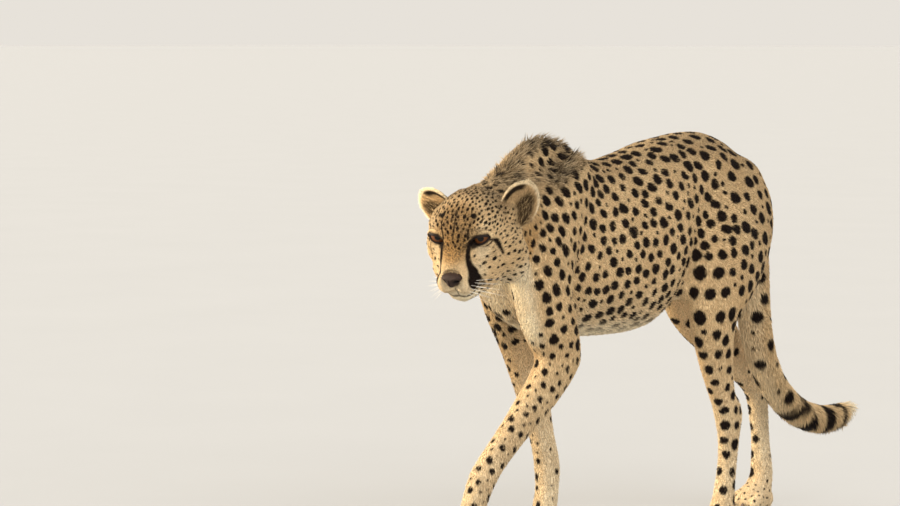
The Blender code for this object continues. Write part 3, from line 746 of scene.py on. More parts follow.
def face_tones(left, head):
    """Pale, golden and grey-ticked shares of the face, mirrored to its left, and its drawn dark marks, both with
    painted shade.
    """

    def at(place):
        return at_face(place, left)

    jaw = smooth(-0.055, -0.105, left[:, 2]) * smooth(-0.02, 0.02, left[:, 1]) * 0.85
    # The muzzle and the chin are kept less pale, partly as painted shade over the front of the face.
    pale = 0.50 * at("muzzle") + 0.75 * at("chin") + 0.45 * at("under_eye") + 0.42 * at("beside_nose")
    pale = np.clip(pale + 0.165 * at("over_eye") + jaw, 0, 1) * head
    golden = np.clip(0.85 * at("bridge") + 0.65 * at("brow"), 0, 1) * head
    crown = smooth(0.035, 0.080, left[:, 1]) * smooth(0.000, 0.030, left[:, 2])
    # The brow, the bridge and the back of the nose get the ticked tone, partly their own and partly painted shade
    # over the face's front.
    grizzled_and_shaded = 0.90 * crown + at("brow") + at("bridge") + 0.55 * at("nose_back") + 0.42 * at("painted_lid_shade")
    grizzled_and_shaded = np.clip(grizzled_and_shaded, 0, 1) * head
    dark = 0.20 * at("brow") + 0.10 * crown
    for mark, strength, edge in FACE_MARKS:
        dark = np.maximum(dark, strength * stroke(left, *FACE_LINES[mark], edge))
    spot = near(left, FACE_LINES["spot"], FOREHEAD_SPOT_RADIUS * 0.85, FOREHEAD_SPOT_RADIUS * 1.2)
    dark = np.maximum(dark, spot)
    # Painted shade: faint dark lines in the folds under the eye.
    lines = smooth(0.35, 0.9, np.sin((left[:, 2] + 0.25 * left[:, 0]) * TURN / WRINKLE_GAP))
    dark = np.maximum(dark, 0.34 * at("fold_shade") * lines)
    streaks = near(left, FACE_LINES["lips"][0][-1], 0.006, 0.013)
    gaps = smooth(0.25, 0.85, np.sin((left[:, 1] * 0.8 - left[:, 2]) * TURN / STREAK_GAP))
    dark = dark * (1 - 0.75 * streaks * gaps)
    dots = np.sin(left[:, 2] * TURN / WHISKER_GAP[1])
    dots = dots * np.sin((left[:, 0] + 0.5 * left[:, 2]) * TURN / WHISKER_GAP[0])
    dark = np.maximum(dark, 0.42 * at("whisker_rows") * smooth(0.45, 0.85, dots))
    dark = np.maximum(dark, 0.85 * stroke(left, *FACE_LINES["lips"], 0.0006))
    return pale, golden, grizzled_and_shaded, dark * head


def ear_hollow(in_ear, side):
    """The dark tuft of long hair low in the outer half of one ear."""
    across = in_ear[:, 0] / EAR_HALF_WIDTH * side
    up = in_ear[:, 2] / EAR_HEIGHT
    return near(np.column_stack([across, 0 * up, up]), *EAR_HOLLOW)


def ear_tones(places, normals, parts):
    """Pale, dark and golden shares of the ears: tan and dark inside, black behind with a pale rim."""
    pale, dark, golden = np.zeros((3, len(places)))
    for side in SIDES:
        local = seen_from(ear_frame(side), places)
        facing = normals @ np.array(ear_frame(side))[:3, 1]
        across = local[:, 0] / EAR_HALF_WIDTH * SIDES[side]
        up = local[:, 2] / EAR_HEIGHT
        outside = smooth(0.0, 0.35, facing)
        from_middle = np.hypot(across, (up - 0.4) / 0.6)
        rim = smooth(0.90, 0.99, from_middle)
        behind = outside * smooth(0.10, 0.28, up) * (1 - 0.75 * rim)
        hollow = ear_hollow(local, SIDES[side]) * (1 - outside)
        front_edge = smooth(0.60, 0.74, from_middle) * (1 - rim) * smooth(0.10, -0.30, across)
        share = parts["ear_" + side]
        inside = (1 - outside) * (1 - rim)
        for amount in (0.95 * behind, 0.92 * hollow, 0.98 * front_edge, 0.30 * inside):
            dark = np.maximum(dark, share * amount)
        pale = np.maximum(pale, share * np.maximum(rim * 0.7, 0.05 * (1 - outside)))
        golden = np.maximum(golden, share * 0.35 * inside)
    return pale, dark, golden


def tail_line():
    """The middle line of the tail from its root to its tip, worked out from its three solids."""
    knots = []
    for name in ("tail_root", "tail_middle", "tail_tip"):
        middle, steps, axis = long_axis(name)
        axis = axis * np.sign(axis[1] - axis[2])
        along = steps @ axis
        if not knots:
            knots.append(middle + axis * along.min())
        knots += [middle, middle + axis * along.max()]
    return spline(knots, 60)


def left_of_tail(places):
    """How much of the tail lies between each place and the tip, along its middle line."""
    steps = np.linalg.norm(np.diff(TAIL_LINE, axis=0), axis=1)
    left = np.concatenate([np.cumsum(steps[::-1])[::-1], [0.0]])
    found = np.empty(len(places))
    for start in range(0, len(places), 20000):
        block = places[start : start + 20000]
        gap = ((block[:, None] - TAIL_LINE[None]) ** 2).sum(2)
        found[start : start + 20000] = left[gap.argmin(1)]
    return found


def tail_bands(places, parts):
    """Spots run together into rings towards the end of the tail, which ends in a pale tuft."""
    on_tail = parts["tail_middle"] + parts["tail_tip"]
    bands = np.zeros(len(places))
    rows = np.nonzero(on_tail > 0.02)[0]
    left = left_of_tail(places[rows])
    wave = np.sin(left / TAIL_RING * TURN + 0.6 + 0.5 * np.sin(places[rows, 0] * 90))
    ringed = 1 - smooth(TAIL_RINGED, TAIL_RINGED + 0.06, left)
    ringed = ringed * smooth(TAIL_WHITE, TAIL_WHITE + 0.012, left)
    bands[rows] = smooth(-0.10, 0.22, wave) * ringed * on_tail[rows]
    return bands


def markings(places, normals, parts, spots):
    """Dark, pale, golden and grey-ticked shares at the given places of the coat; painted shade and painted light
    are in them too.
    """
    left = mirrored_to_left(seen_from(HEAD, places))
    body = body_tones(places, normals, parts)
    head = parts["head"]
    face = face_tones(left, np.clip(head * 1.5, 0, 1))
    ears = ear_tones(places, normals, parts)
    pale = np.maximum(np.maximum(body[0], face[0]), ears[0])
    golden = np.maximum(np.maximum(body[1], face[1]), ears[2])
    grizzled_and_shaded = np.maximum(body[2], face[2])
    bare = np.maximum(at_face("unspotted_muzzle", left), at_face("unspotted_lids", left))
    for line, clear in (("tear", 0.0035), ("cheek", 0.0025)):
        path, widths = FACE_LINES[line]
        bare = np.maximum(bare, stroke(left, path, widths + clear, 0.0015) * head)
    dark = spot_mask(spots, places) * (1 - bare) * (1 - parts["ear_left"]) * (1 - parts["ear_right"])
    belly = parts["trunk"] * smooth(-0.62, -0.95, normals[:, 2])
    dark = dark * (1 - 0.72 * belly) * (1 - parts["tail_tip"])
    for drawn_on in (tail_bands(places, parts), face[3], ears[1]):
        dark = np.maximum(dark, drawn_on)
    return np.column_stack([dark, pale, golden, grizzled_and_shaded])


# ---------------------------------------------------------------- unwrap shared by skin and coat


def unwrap_skin(surface, parts):
    """Charts of the skin seen along its own six sides, part by part, in rows over the unit square."""
    corners, places = surface
    owner = np.argmax(np.column_stack([parts[name] for name in FLESH]), axis=1)[corners[:, 0]]
    edge_one = places[corners[:, 1]] - places[corners[:, 0]]
    edge_two = places[corners[:, 2]] - places[corners[:, 0]]
    normals = np.cross(edge_one, edge_two)
    side = np.argmax(np.abs(normals), axis=1)
    side = side * 2 + (normals[np.arange(len(side)), side] > 0)
    charts = []
    for part, name in enumerate(FLESH):
        scale = 2.2 if name == "head" or name.startswith("ear") else 1.0
        for facing in range(6):
            members = np.nonzero((owner == part) & (side == facing))[0]
            if len(members) == 0:
                continue
            axes = [axis for axis in range(3) if axis != facing // 2]
            flat = places[corners[members]][:, :, axes] * scale
            low = flat.reshape(-1, 2).min(0)
            size = flat.reshape(-1, 2).max(0) - low
            flat = flat - low
            if size[1] > size[0]:
                flat = flat[:, :, ::-1]
                size = size[::-1]
            charts.append((size[1], size[0], members, flat))
    charts.sort(key=lambda chart: -chart[0])
    margin = 0.012
    width = 1.9
    while True:
        x = margin
        y = margin
        row = 0
        corner_uv = np.zeros((len(corners), 3, 2))
        for height, length, members, flat in charts:
            if x + length + margin > width:
                x = margin
                y += row + margin
                row = 0
            corner_uv[members] = flat + np.array((x, y))
            x += length + margin
            row = max(row, height)
        if y + row + margin <= width:
            return corner_uv / width
        width *= 1.04


# ---------------------------------------------------------------- tufts


def grow_tufts(surface, coat, parts, spots, corner_uv):
    """All the tufts: roots spread over the skin, each bent down along the lie of the coat."""
    corners, places = surface
    count = TUFT_PIECES * TUFTS_PER_PIECE
    chosen, shares = surface_samples(surface, coat["density"], count)
    root = between(places, corners, chosen, shares)
    own = {key: between(values, corners, chosen, shares) for key, values in coat.items()}
    normal = unit(own["normal"])
    lie = own["lie"]
    length = own["length"] * (0.75 + 0.5 * chance.random(count))
    width = own["width"] * (0.8 + 0.4 * chance.random(count))
    rise = own["rise"] * (0.55 + 0.9 * chance.random(count))
    side = np.cross(normal, lie)
    angle = chance.normal(0, 1, count) * own["stray"]
    lie = unit(lie * np.cos(angle)[:, None] + side * np.sin(angle)[:, None])
    side = unit(np.cross(normal, lie))
    own_parts = {name: between(share, corners, chosen, shares) for name, share in parts.items()}
    low_marks = markings(root + lie * (LOW_ON_TUFT * length)[:, None], normal, own_parts, spots)
    tip_marks = markings(root + lie * (HIGH_ON_TUFT * length)[:, None], normal, own_parts, spots)
    pale_hairs = own["ear_tuft"] * (chance.random(count) < 0.20)
    low_marks[:, 0] *= 1 - 0.7 * pale_hairs
    tip_marks[:, 0] *= 1 - 0.8 * pale_hairs
    raised = own["mane"]
    low_marks[:, 0] = np.maximum(low_marks[:, 0], 0.72 * raised)
    low_marks[:, 3] = np.maximum(low_marks[:, 3], 0.90 * raised)
    tip_marks[:, 1] = np.maximum(tip_marks[:, 1], 0.45 * raised)
    tip_marks[:, 0] *= 1 - 0.3 * raised
    tip_marks[:, 3] *= 1 - 0.8 * raised
    widest = root + lie * (TUFT_WIDEST * length)[:, None]
    half = side * (width / 2)[:, None]
    middle_height = (rise * 0.62)[:, None]
    thick = (width * 0.32)[:, None]
    points = np.empty((count, 5, 3))
    points[:, 0] = root - normal * (0.25 * width)[:, None]
    points[:, 1] = widest + half + normal * middle_height
    points[:, 2] = widest - half + normal * middle_height
    points[:, 3] = widest + normal * (middle_height + thick)
    points[:, 4] = root + lie * length[:, None] + normal * rise[:, None]
    points[:, :, 2] = np.maximum(points[:, :, 2], ABOVE_FLOOR)
    root_uv = (corner_uv[chosen] * shares[:, :, None]).sum(1)
    tone_of_own = chance.random(count)
    return {"points": points, "low": low_marks, "tip": tip_marks, "uv": root_uv, "tone": tone_of_own}


def tuft_piece(number, tufts, material):
    """One piece of the coat, as many tufts as a piece may hold."""
    chosen = slice(number * TUFTS_PER_PIECE, (number + 1) * TUFTS_PER_PIECE)
    points = tufts["points"][chosen]
    count = len(points)
    faces = (TUFT_FACES[None] + 5 * np.arange(count)[:, None, None]).reshape(-1, 3)
    thing = place_mesh("coat_%d" % (number + 1), points.reshape(-1, 3), faces)
    marks = np.repeat(tufts["low"][chosen], 5, axis=0)
    marks[4::5] = tufts["tip"][chosen]
    paint_points(thing.data, "marks", marks)
    along = np.array((0.0, TUFT_WIDEST, TUFT_WIDEST, TUFT_WIDEST, 1.0))
    tone = np.repeat(tufts["tone"][chosen], 5)
    paint_points(thing.data, "strand", np.column_stack([np.tile(along, count), tone, np.ones(len(tone))]))
    across = np.array((0.5, 0.0, 1.0, 0.5, 0.5))
    flat = tufts["uv"][chosen][:, None, :] + (np.column_stack([across, along]) - 0.5) * TUFT_PATCH
    give_map(thing.data, flat.reshape(-1, 2)[faces.ravel()])
    return finished(thing, material)


# ---------------------------------------------------------------- swept and turned pieces


def sweep(path, widths, heights, ups, sides=8, closed=False):
    """A tube of oval section along a path: its points and triangles."""
    path = np.array(path, float)
    count = len(path)
    ahead = np.roll(path, -1, axis=0) - np.roll(path, 1, axis=0)
    if not closed:
        ahead[0] = path[1] - path[0]
        ahead[-1] = path[-1] - path[-2]
    ahead = unit(ahead)
    ups = np.broadcast_to(np.array(ups, float), path.shape)
    across = unit(np.cross(ahead, ups))
    ups = unit(np.cross(across, ahead))
    angle = np.arange(sides) / sides * TURN
    widths = np.broadcast_to(np.array(widths, float), (count,))
    heights = np.broadcast_to(np.array(heights, float), (count,))
    ring = (
        across[:, None] * (np.cos(angle)[None, :, None] * widths[:, None, None])
        + ups[:, None] * (np.sin(angle)[None, :, None] * heights[:, None, None])
    )
    points = (path[:, None] + ring).reshape(-1, 3)
    rows = count if closed else count - 1
    faces = []
    for row in range(rows):
        for column in range(sides):
            a = row * sides + column
            b = row * sides + (column + 1) % sides
            c = (row + 1) % count * sides + column
            d = (row + 1) % count * sides + (column + 1) % sides
            faces += [(a, b, d), (a, d, c)]
    if not closed:
        points = np.vstack([points, path[:1], path[-1:]])
        first, last = len(points) - 2, len(points) - 1
        top = (count - 1) * sides
        for column in range(sides):
            after = (column + 1) % sides
            faces += [(first, after, column), (last, top + column, top + after)]
    return points, np.array(faces)


def joined(pieces):
    """Several lots of points and triangles as one."""
    points = np.vstack([piece[0] for piece in pieces])
    faces = []
    start = 0
    for own_points, own_faces in pieces:
        faces.append(own_faces + start)
        start += len(own_points)
    return points, np.vstack(faces)


def spline(knots, count):
    """A smooth curve through the knots."""
    knots = np.array(knots, float)
    spans = len(knots) - 1
    found = []
    for step in range(count):
        place = step / (count - 1) * spans
        span = min(int(place), spans - 1)
        t = place - span
        a, b, c, d = (knots[min(max(span + k, 0), spans)] for k in (-1, 0, 1, 2))
        square, cube = 2 * a - 5 * b + 4 * c - d, 3 * b - a - 3 * c + d
        found.append(0.5 * (2 * b + (c - a) * t + square * t * t + cube * t**3))
    return np.array(found)


def turned_faces(rows, around):
    """Triangles over rows of points round an axis, closed by a point at each end. Those two come last."""
    faces = []
    for row in range(rows - 1):
        for column in range(around):
            a, b = row * around + column, row * around + (column + 1) % around
            c, d = a + around, b + around
            faces += [(a, c, d), (a, d, b)]
    ends, last_row = rows * around, (rows - 1) * around
    for column in range(around):
        after = (column + 1) % around
        faces += [(ends, column, after), (ends + 1, last_row + after, last_row + column)]
    return np.array(faces)


def finished(thing, material, nodes=()):
    thing.data.materials.append(material)
    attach(thing, "root")
    if nodes:
        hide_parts(*nodes)
    return thing


def make_eye(side, material):
    """An eyeball turned about its line of sight, with the clear front standing a little proud."""
    turned = turn("Z", GAZE_LEFT) @ turn("X", 90 - GAZE_UP)
    centre = Matrix.Translation((SIDES[side] * EYE_SPREAD, EYE_DEPTH, 0))
    rings = 44
    around = 48
    tilt = np.linspace(0.0, 1.0, rings + 1)[1:-1] ** 1.35 * math.pi
    lift = EYE_RADIUS - EYE_INSET + CORNEA_HEIGHT * (1 - smooth(0.0, 0.95, tilt))
    angle = np.arange(around) / around * TURN
    radial = np.sin(tilt)[:, None] * lift[:, None]
    height = np.repeat((np.cos(tilt) * lift)[:, None], around, 1)
    points = np.stack([radial * np.cos(angle), radial * np.sin(angle), height], 2).reshape(-1, 3)
    points = np.vstack([points, (0, 0, EYE_RADIUS - EYE_INSET + CORNEA_HEIGHT), (0, 0, -EYE_RADIUS)])
    rows = len(tilt)
    faces = turned_faces(rows, around)
    thing = place_mesh("eyeball_" + side, set_in(HEAD @ centre @ turned, points), faces)
    slope = np.concatenate([np.repeat(tilt, around), (0.0, math.pi)])
    spoke = np.column_stack([np.tile(np.cos(angle), rows), np.tile(np.sin(angle), rows)])
    spoke = np.vstack([spoke, (0, 0), (0, 0)])
    paint_points(thing.data, "iris", np.column_stack([slope / math.pi, spoke * 0.5 + 0.5]))
    return finished(thing, material, ["eye_" + side])


def unwrap_sweeps(mesh, faces, rows, sides):
    """Lay each closed sweep of one mesh out flat in a strip of its own: along its path by round it."""
    own, within = np.divmod(faces, rows * sides)
    row, column = np.divmod(within, sides)
    row = row + rows * (row.max(1, keepdims=True) - row > rows / 2)
    column = column + sides * (column.max(1, keepdims=True) - column > sides / 2)
    give_map(mesh, np.stack([row / rows, (own + 0.9 * column / sides) / (own.max() + 1)], 2))


def round_the_eye(sign, outward, standing, width, height):
    """A flat ring on one eyeball, this far outside the lids' edge and standing this far off the ball."""
    outline = lid_outline(LID_STEPS)[::-1]
    away = outline - np.array((EYE_SPREAD, 0.0))
    away *= (1 + outward / np.linalg.norm(away, axis=1))[:, None]
    ball = EYE_RADIUS + standing
    depth = EYE_DEPTH - np.sqrt(np.maximum(ball * ball - (away**2).sum(1), 0.0045**2))
    duct = smooth(-0.0055, -0.0140, away[:, 0])
    depth = depth * (1 - duct) + DUCT_DEPTH * duct
    path = np.column_stack([sign * (EYE_SPREAD + away[:, 0]), depth, away[:, 1]])
    ups = path - np.array((sign * EYE_SPREAD, EYE_DEPTH, 0))
    points, faces = sweep(path, width, height, ups, sides=LID_SIDES, closed=True)
    if sign < 0:
        faces = faces[:, ::-1]
    return set_in(HEAD, points), faces


def make_eye_rims(material):
    """The dark edges of the lids, lying on the eyeballs and drawn out towards the nose."""
    rings = [round_the_eye(sign, 0.0, 0.0009, RIM_WIDTH, RIM_HEIGHT) for sign in SIDES.values()]
    return finished(place_mesh("eye_rims", *joined(rings)), material)


def make_eyelids(material, spots):
    """Both lids as one ring round each eye, from its rim back under the fur, marked as the face is."""
    rings = [round_the_eye(sign, LID_REACH, 0.0003, LID_REACH, LID_THICKNESS) for sign in SIDES.values()]
    points, faces = joined(rings)
    thing = place_mesh("eyelids", points, faces)
    unwrap_sweeps(thing.data, faces, LID_STEPS, LID_SIDES)
    points, normals = points_of(thing.data)
    own_parts = {name: np.full(len(points), float(name == "head")) for name in FLESH}
    lid_marks = markings(points, normals, own_parts, spots)
    # Painted shade: the bare lids are darkened in the ticked tone, as the shadows among the tufts darken the fur
    # round them.
    lid_marks[:, 3] = np.maximum(lid_marks[:, 3], 0.6)
    paint_points(thing.data, "marks", lid_marks)
    paint_points(thing.data, "lie", np.full((len(points), 3), 0.33))
    paint_points(thing.data, "bare", np.zeros((len(points), 3)))
    return finished(thing, material)


def make_nose(material):
    """The nose leather: a wedge, wider above, with a groove down its middle and a nostril each side."""
    rings = 60
    around = 72
    tilt = np.linspace(0, math.pi, rings + 1)[1:-1]
    angle = np.arange(around) / around * TURN
    radial = np.sin(tilt)[:, None]
    depth = np.repeat(-np.cos(tilt)[:, None], around, 1)
    shape = np.stack([radial * np.cos(angle), depth, radial * np.sin(angle)], 2).reshape(-1, 3)
    shape = np.vstack([shape, (0, -1, 0), (0, 1, 0)])
    points = shape * np.array(NOSE_RADII) * 1.035
    points[:, 0] *= (1 + 1.5 * NOSE_TAPER * shape[:, 2]) * NOSE_NARROWED
    across = np.abs(points[:, 0])
    up = points[:, 2]
    front = smooth(0.1, 0.5, -shape[:, 1])

    def dent(x, z, wide, high, slant):
        """1 at a place on the front of the leather, fading out over this width and height."""
        return np.exp(-(((across - x) / wide) ** 2) - ((up - z - slant * (across - x)) / high) ** 2)

    groove = np.exp(-((across / NOSE_GROOVE) ** 2)) * smooth(0.0035, -0.002, up) * front
    hollow = np.clip(dent(*NOSTRIL) + 0.8 * dent(*NOSE_SLIT), 0, 1) * front
    wing = dent(*NOSE_WING) * front
    points[:, 1] += 0.0016 * groove + 0.0075 * hollow - 0.0016 * wing
    place = HEAD @ Matrix.Translation(NOSE_PLACE) @ turn("X", NOSE_TILT)
    thing = place_mesh("nose_leather", set_in(place, points), turned_faces(len(tilt), around)[:, ::-1])
    paint_points(thing.data, "hollow", np.column_stack([hollow, groove, wing]))
    return finished(thing, material, ["nose"])


def make_claws(leg, material):
    """The four claws of a paw, each a flattened horn that curves down along its solid."""
    nodes = ["claw_%s_%d" % (leg, number) for number in range(1, 5)]
    pieces = []
    for node in nodes:
        middle, steps, axis = long_axis(node)
        along = steps @ axis
        around = np.linalg.norm(steps - along[:, None] * axis, axis=1)
        if around[along > 0].max() > around[along < 0].max():
            axis, along = -axis, -along
        base = middle + axis * along.min()
        tip = middle + axis * along.max()
        radius = around.max()
        down = np.array((0, 0, -1.0))
        share = np.linspace(0, 1, 9)
        path = base + share[:, None] * (tip - base) + (0.0016 * (share - share**2) * -4)[:, None] * down
        heights = radius * 0.95 * (1 - share**1.6 * 0.86)
        pieces.append(sweep(path, heights * 0.62, heights, down, sides=10))
    thing = place_mesh("claws_" + leg, *joined(pieces))
    return finished(thing, material, nodes)


def make_whiskers(material):
    """Pale whiskers from the upper lip."""
    pieces = []
    for sign in SIDES.values():
        for row, column in np.ndindex(4, 3):
            out, back = (WHISKER_ROOT[axis] + WHISKER_STEP[axis] * column for axis in (0, 1))
            root = Vector((sign * out, back, WHISKER_ROOT[2] - WHISKER_ROWS * row))
            long = 0.038 + 0.006 * column + 0.008 * chance.random()
            way = Vector((sign * (0.75 + 0.1 * chance.random()), 0.35 + 0.22 * column, -0.30 - 0.12 * row))
            pieces.append(whisker(np.array(root), np.array(way.normalized()), long))
    thing = place_mesh("whiskers", *joined(pieces))
    return finished(thing, material)


def whisker(root, way, long):
    """One whisker from its root, drooping and thinning to its end."""
    share = np.linspace(0, 1, 8)
    path = root + way * (share * long)[:, None]
    path[:, 1] += 0.10 * long * share**2
    path[:, 2] -= 0.10 * long * share**2
    widths = 0.00034 * (1 - 0.85 * share)
    points, faces = sweep(path, widths, widths, (0.05, 0.1, 1), sides=4)
    return set_in(HEAD, points), faces


# ---------------------------------------------------------------- materials


def tone(red, green, blue):
    """A colour given as a screen shows it, 0 to 255, for a shader."""
    found = []
    for value in (red, green, blue):
        value /= 255
        found.append(value / 12.92 if value <= 0.04045 else ((value + 0.055) / 1.055) ** 2.4)
    return (*found, 1.0)


TAN = tone(226, 196, 150)
PALE = tone(246, 230, 196)
# The coat's golden tone, which also paints light on the inner sides of the legs.
GOLDEN = tone(220, 168, 96)
# The grey-ticked tone of the coat, also used for painted shade.
GRIZZLE_AND_SHADE_TONE = tone(104, 86, 62)
BLACK_BROWN = tone(14, 8, 5)


class Shading:
    """Adds nodes to one tree and links them, so that a material reads as a short recipe."""

    def __init__(self, tree):
        self.tree = tree

    def node(self, kind, **settings):
        made = self.tree.nodes.new(kind)
        for key, value in settings.items():
            setattr(made, key, value)
        return made

    def fill(self, socket, value):
        if isinstance(value, bpy.types.NodeSocket):
            self.tree.links.new(value, socket)
        else:
            socket.default_value = value

    def mix(self, share, first, second, blend="MIX"):
        made = self.node("ShaderNodeMix", data_type="RGBA", blend_type=blend, clamp_factor=True)
        self.fill(made.inputs[0], share)
        self.fill(made.inputs[6], first)
        self.fill(made.inputs[7], second)
        return made.outputs[2]

    def math(self, operation, first, second=0.0, third=0.0):
        made = self.node("ShaderNodeMath", operation=operation)
        for socket, value in zip(made.inputs, (first, second, third)):
            self.fill(socket, value)
        return made.outputs[0]

    def ramp(self, value, low, high, start=0.0, end=1.0):
        made = self.node("ShaderNodeMapRange", interpolation_type="SMOOTHSTEP")
        for socket, given in zip(made.inputs, (value, low, high, start, end)):
            self.fill(socket, given)
        return made.outputs[0]

    def noise(self, scale, detail=2.0, stretch=None, roughness=0.55, where=None):
        if where is None:
            where = self.node("ShaderNodeTexCoord").outputs["Object"]
        if stretch is not None:
            mapped = self.node("ShaderNodeMapping")
            self.fill(mapped.inputs["Vector"], where)
            mapped.inputs["Scale"].default_value = stretch
            where = mapped.outputs[0]
        made = self.node("ShaderNodeTexNoise")
        for key, value in (("Vector", where), ("Scale", scale), ("Detail", detail), ("Roughness", roughness)):
            self.fill(made.inputs[key], value)
        return made.outputs["Fac"]

    def parted(self, colour):
        made = self.node("ShaderNodeSeparateColor")
        self.fill(made.inputs[0], colour)
        return made.outputs

    def attribute(self, name):
        return self.node("ShaderNodeAttribute", attribute_name=name)

    def group(self, tree, **given):
        made = self.node("ShaderNodeGroup", node_tree=tree)
        for key, value in given.items():
            self.fill(made.inputs[key.replace("_", " ").title()], value)
        return made


def group_tree(name, inputs, outputs):
    """A shader node group with named sockets, and the means to fill it."""
    tree = bpy.data.node_groups.new(name, "ShaderNodeTree")
    for kind, in_out, sockets in (("in", "INPUT", inputs), ("out", "OUTPUT", outputs)):
        for socket_name, socket_kind in sockets:
            tree.interface.new_socket(name=socket_name, in_out=in_out, socket_type=socket_kind)
    shading = Shading(tree)
    return tree, shading, shading.node("NodeGroupInput").outputs, shading.node("NodeGroupOutput").inputs


FLOAT = "NodeSocketFloat"
COLOR = "NodeSocketColor"


def coat_colour_group():
    """The colour of the coat from its marks: ground colour, grey ticking and painted shade in the ticked tone,
    patchy wear of the tones, then the dark spots.
    """
    sockets = (("Marks", COLOR), ("Grizzle", FLOAT))
    tree, shade, given, out = group_tree("coat_colour", sockets, (("Color", COLOR), ("Dark", FLOAT)))
    dark, pale, golden = shade.parted(given["Marks"])
    ground = shade.mix(golden, TAN, GOLDEN)
    ground = shade.mix(pale, ground, PALE)
    ticking = shade.ramp(shade.noise(420, 2.0), 0.40, 0.62)
    # Grey ticking and painted shade, both in the ticked tone, broken up by the ticking noise.
    grizzle = shade.math("MULTIPLY", given["Grizzle"], shade.math("MULTIPLY_ADD", ticking, 0.75, 0.25))
    ground = shade.mix(grizzle, ground, GRIZZLE_AND_SHADE_TONE)
    patches = shade.noise(14, 3.0)
    ground = shade.mix(shade.ramp(patches, 0.35, 0.70, 0.0, 0.28), ground, tone(194, 156, 108))
    warm_dark = shade.mix(shade.noise(60, 2.0), BLACK_BROWN, tone(32, 18, 10))
    shade.fill(out["Color"], shade.mix(dark, ground, warm_dark))
    shade.fill(out["Dark"], dark)
    return tree


def hair_streak_group():
    """Fine streaks of hair seen along the body, down the legs and round the face, as a height and a shade."""
    sockets = (("Fineness", FLOAT),)
    tree, shade, given, out = group_tree("hair_streaks", sockets, (("Height", FLOAT), ("Shade", FLOAT)))
    lie = shade.parted(shade.attribute("lie").outputs["Color"])
    total = None
    for axis in range(3):
        stretch = [900.0, 900.0, 900.0]
        stretch[axis] = 90.0
        grain = shade.noise(given["Fineness"], 2.0, stretch, 0.5)
        weighted = shade.math("MULTIPLY", grain, lie[axis])
        total = weighted if total is None else shade.math("ADD", total, weighted)
    shade.fill(out["Height"], total)
    shade.fill(out["Shade"], shade.ramp(total, 0.32, 0.68, 0.72, 1.12))
    return tree


def new_material(name, roughness, **settings):
    """A material of one Principled surface, and the means to add to it."""
    material = bpy.data.materials.new(name)
    material.use_nodes = True
    tree = material.node_tree
    surface = tree.nodes["Principled BSDF"]
    surface.inputs["Roughness"].default_value = roughness
    for key, value in settings.items():
        surface.inputs[key.replace("_", " ")].default_value = value
    return material, Shading(tree), surface.inputs


def bump(shade, surface, height, strength, distance):
    made = shade.node("ShaderNodeBump")
    made.inputs["Strength"].default_value = strength
    made.inputs["Distance"].default_value = distance
    shade.fill(made.inputs["Height"], height)
    shade.fill(surface["Normal"], made.outputs[0])


def skin_material(colour_group, streak_group):
    material, shade, surface = new_material("coat_skin", 0.85, Specular_IOR_Level=0.14)
    marks = shade.attribute("marks")
    coat = shade.group(colour_group, marks=marks.outputs["Color"], grizzle=marks.outputs["Alpha"])
    streaks = shade.group(streak_group, fineness=1.0)
    shaded = shade.mix(1.0, coat.outputs["Color"], streaks.outputs["Shade"], "MULTIPLY")
    bare = shade.attribute("bare")
    shaded = shade.mix(bare.outputs["Fac"], shaded, tone(38, 28, 25))
    shade.fill(surface["Base Color"], shaded)
    bump(shade, surface, streaks.outputs["Height"], 0.6, 0.0012)
    return material


def tuft_material(colour_group):
    material, shade, surface = new_material("coat_tufts", 0.70, Specular_IOR_Level=0.14)
    marks = shade.attribute("marks")
    coat = shade.group(colour_group, marks=marks.outputs["Color"], grizzle=marks.outputs["Alpha"])
    along, own, _ = shade.parted(shade.attribute("strand").outputs["Color"])
    # Painted shade: each tuft is darker at its root, under the others, and lighter at its tip; its own tone
    # differs at random.
    from_root = shade.ramp(along, 0.0, 1.0, 0.66, 1.14)
    light = shade.math("MULTIPLY", from_root, shade.ramp(own, 0.0, 1.0, 0.80, 1.16))
    shade.fill(surface["Base Color"], shade.mix(1.0, coat.outputs["Color"], light, "MULTIPLY"))
    grain = shade.noise(1500, 1.0)
    shade.fill(surface["Roughness"], shade.ramp(grain, 0.3, 0.7, 0.62, 0.80))
    return material


def eye_material():
    wet = {"Coat_Weight": 0.55, "Coat_Roughness": 0.02, "Coat_IOR": 1.38}
    material, shade, surface = new_material("eye", 0.30, Specular_IOR_Level=0.05, **wet)
    slope, east, north = shade.parted(shade.attribute("iris").outputs["Color"])
    iris_edge = IRIS_ANGLE / math.pi
    pupil_edge = PUPIL_ANGLE / math.pi
    around = shade.node("ShaderNodeCombineXYZ")
    for socket, value in zip(around.inputs, (east, north, shade.math("MULTIPLY", slope, 0.5))):
        shade.fill(socket, value)
    spokes = shade.noise(26, 3, roughness=0.5, where=around.outputs[0])
    iris = shade.mix(shade.ramp(spokes, 0.35, 0.65), tone(64, 36, 18), tone(124, 76, 38))
    iris = shade.mix(shade.ramp(slope, pupil_edge, iris_edge * 0.9), tone(94, 54, 26), iris)
    iris = shade.mix(shade.ramp(slope, iris_edge * 0.72, iris_edge), iris, tone(30, 16, 10))
    white = shade.mix(shade.noise(300, 2), tone(24, 15, 12), tone(38, 25, 19))
    whole = shade.mix(shade.ramp(slope, iris_edge * 0.98, iris_edge * 1.04), iris, white)
    whole = shade.mix(shade.ramp(slope, pupil_edge * 0.9, pupil_edge * 1.08), tone(8, 6, 6), whole)
    shade.fill(surface["Base Color"], whole)
    return material


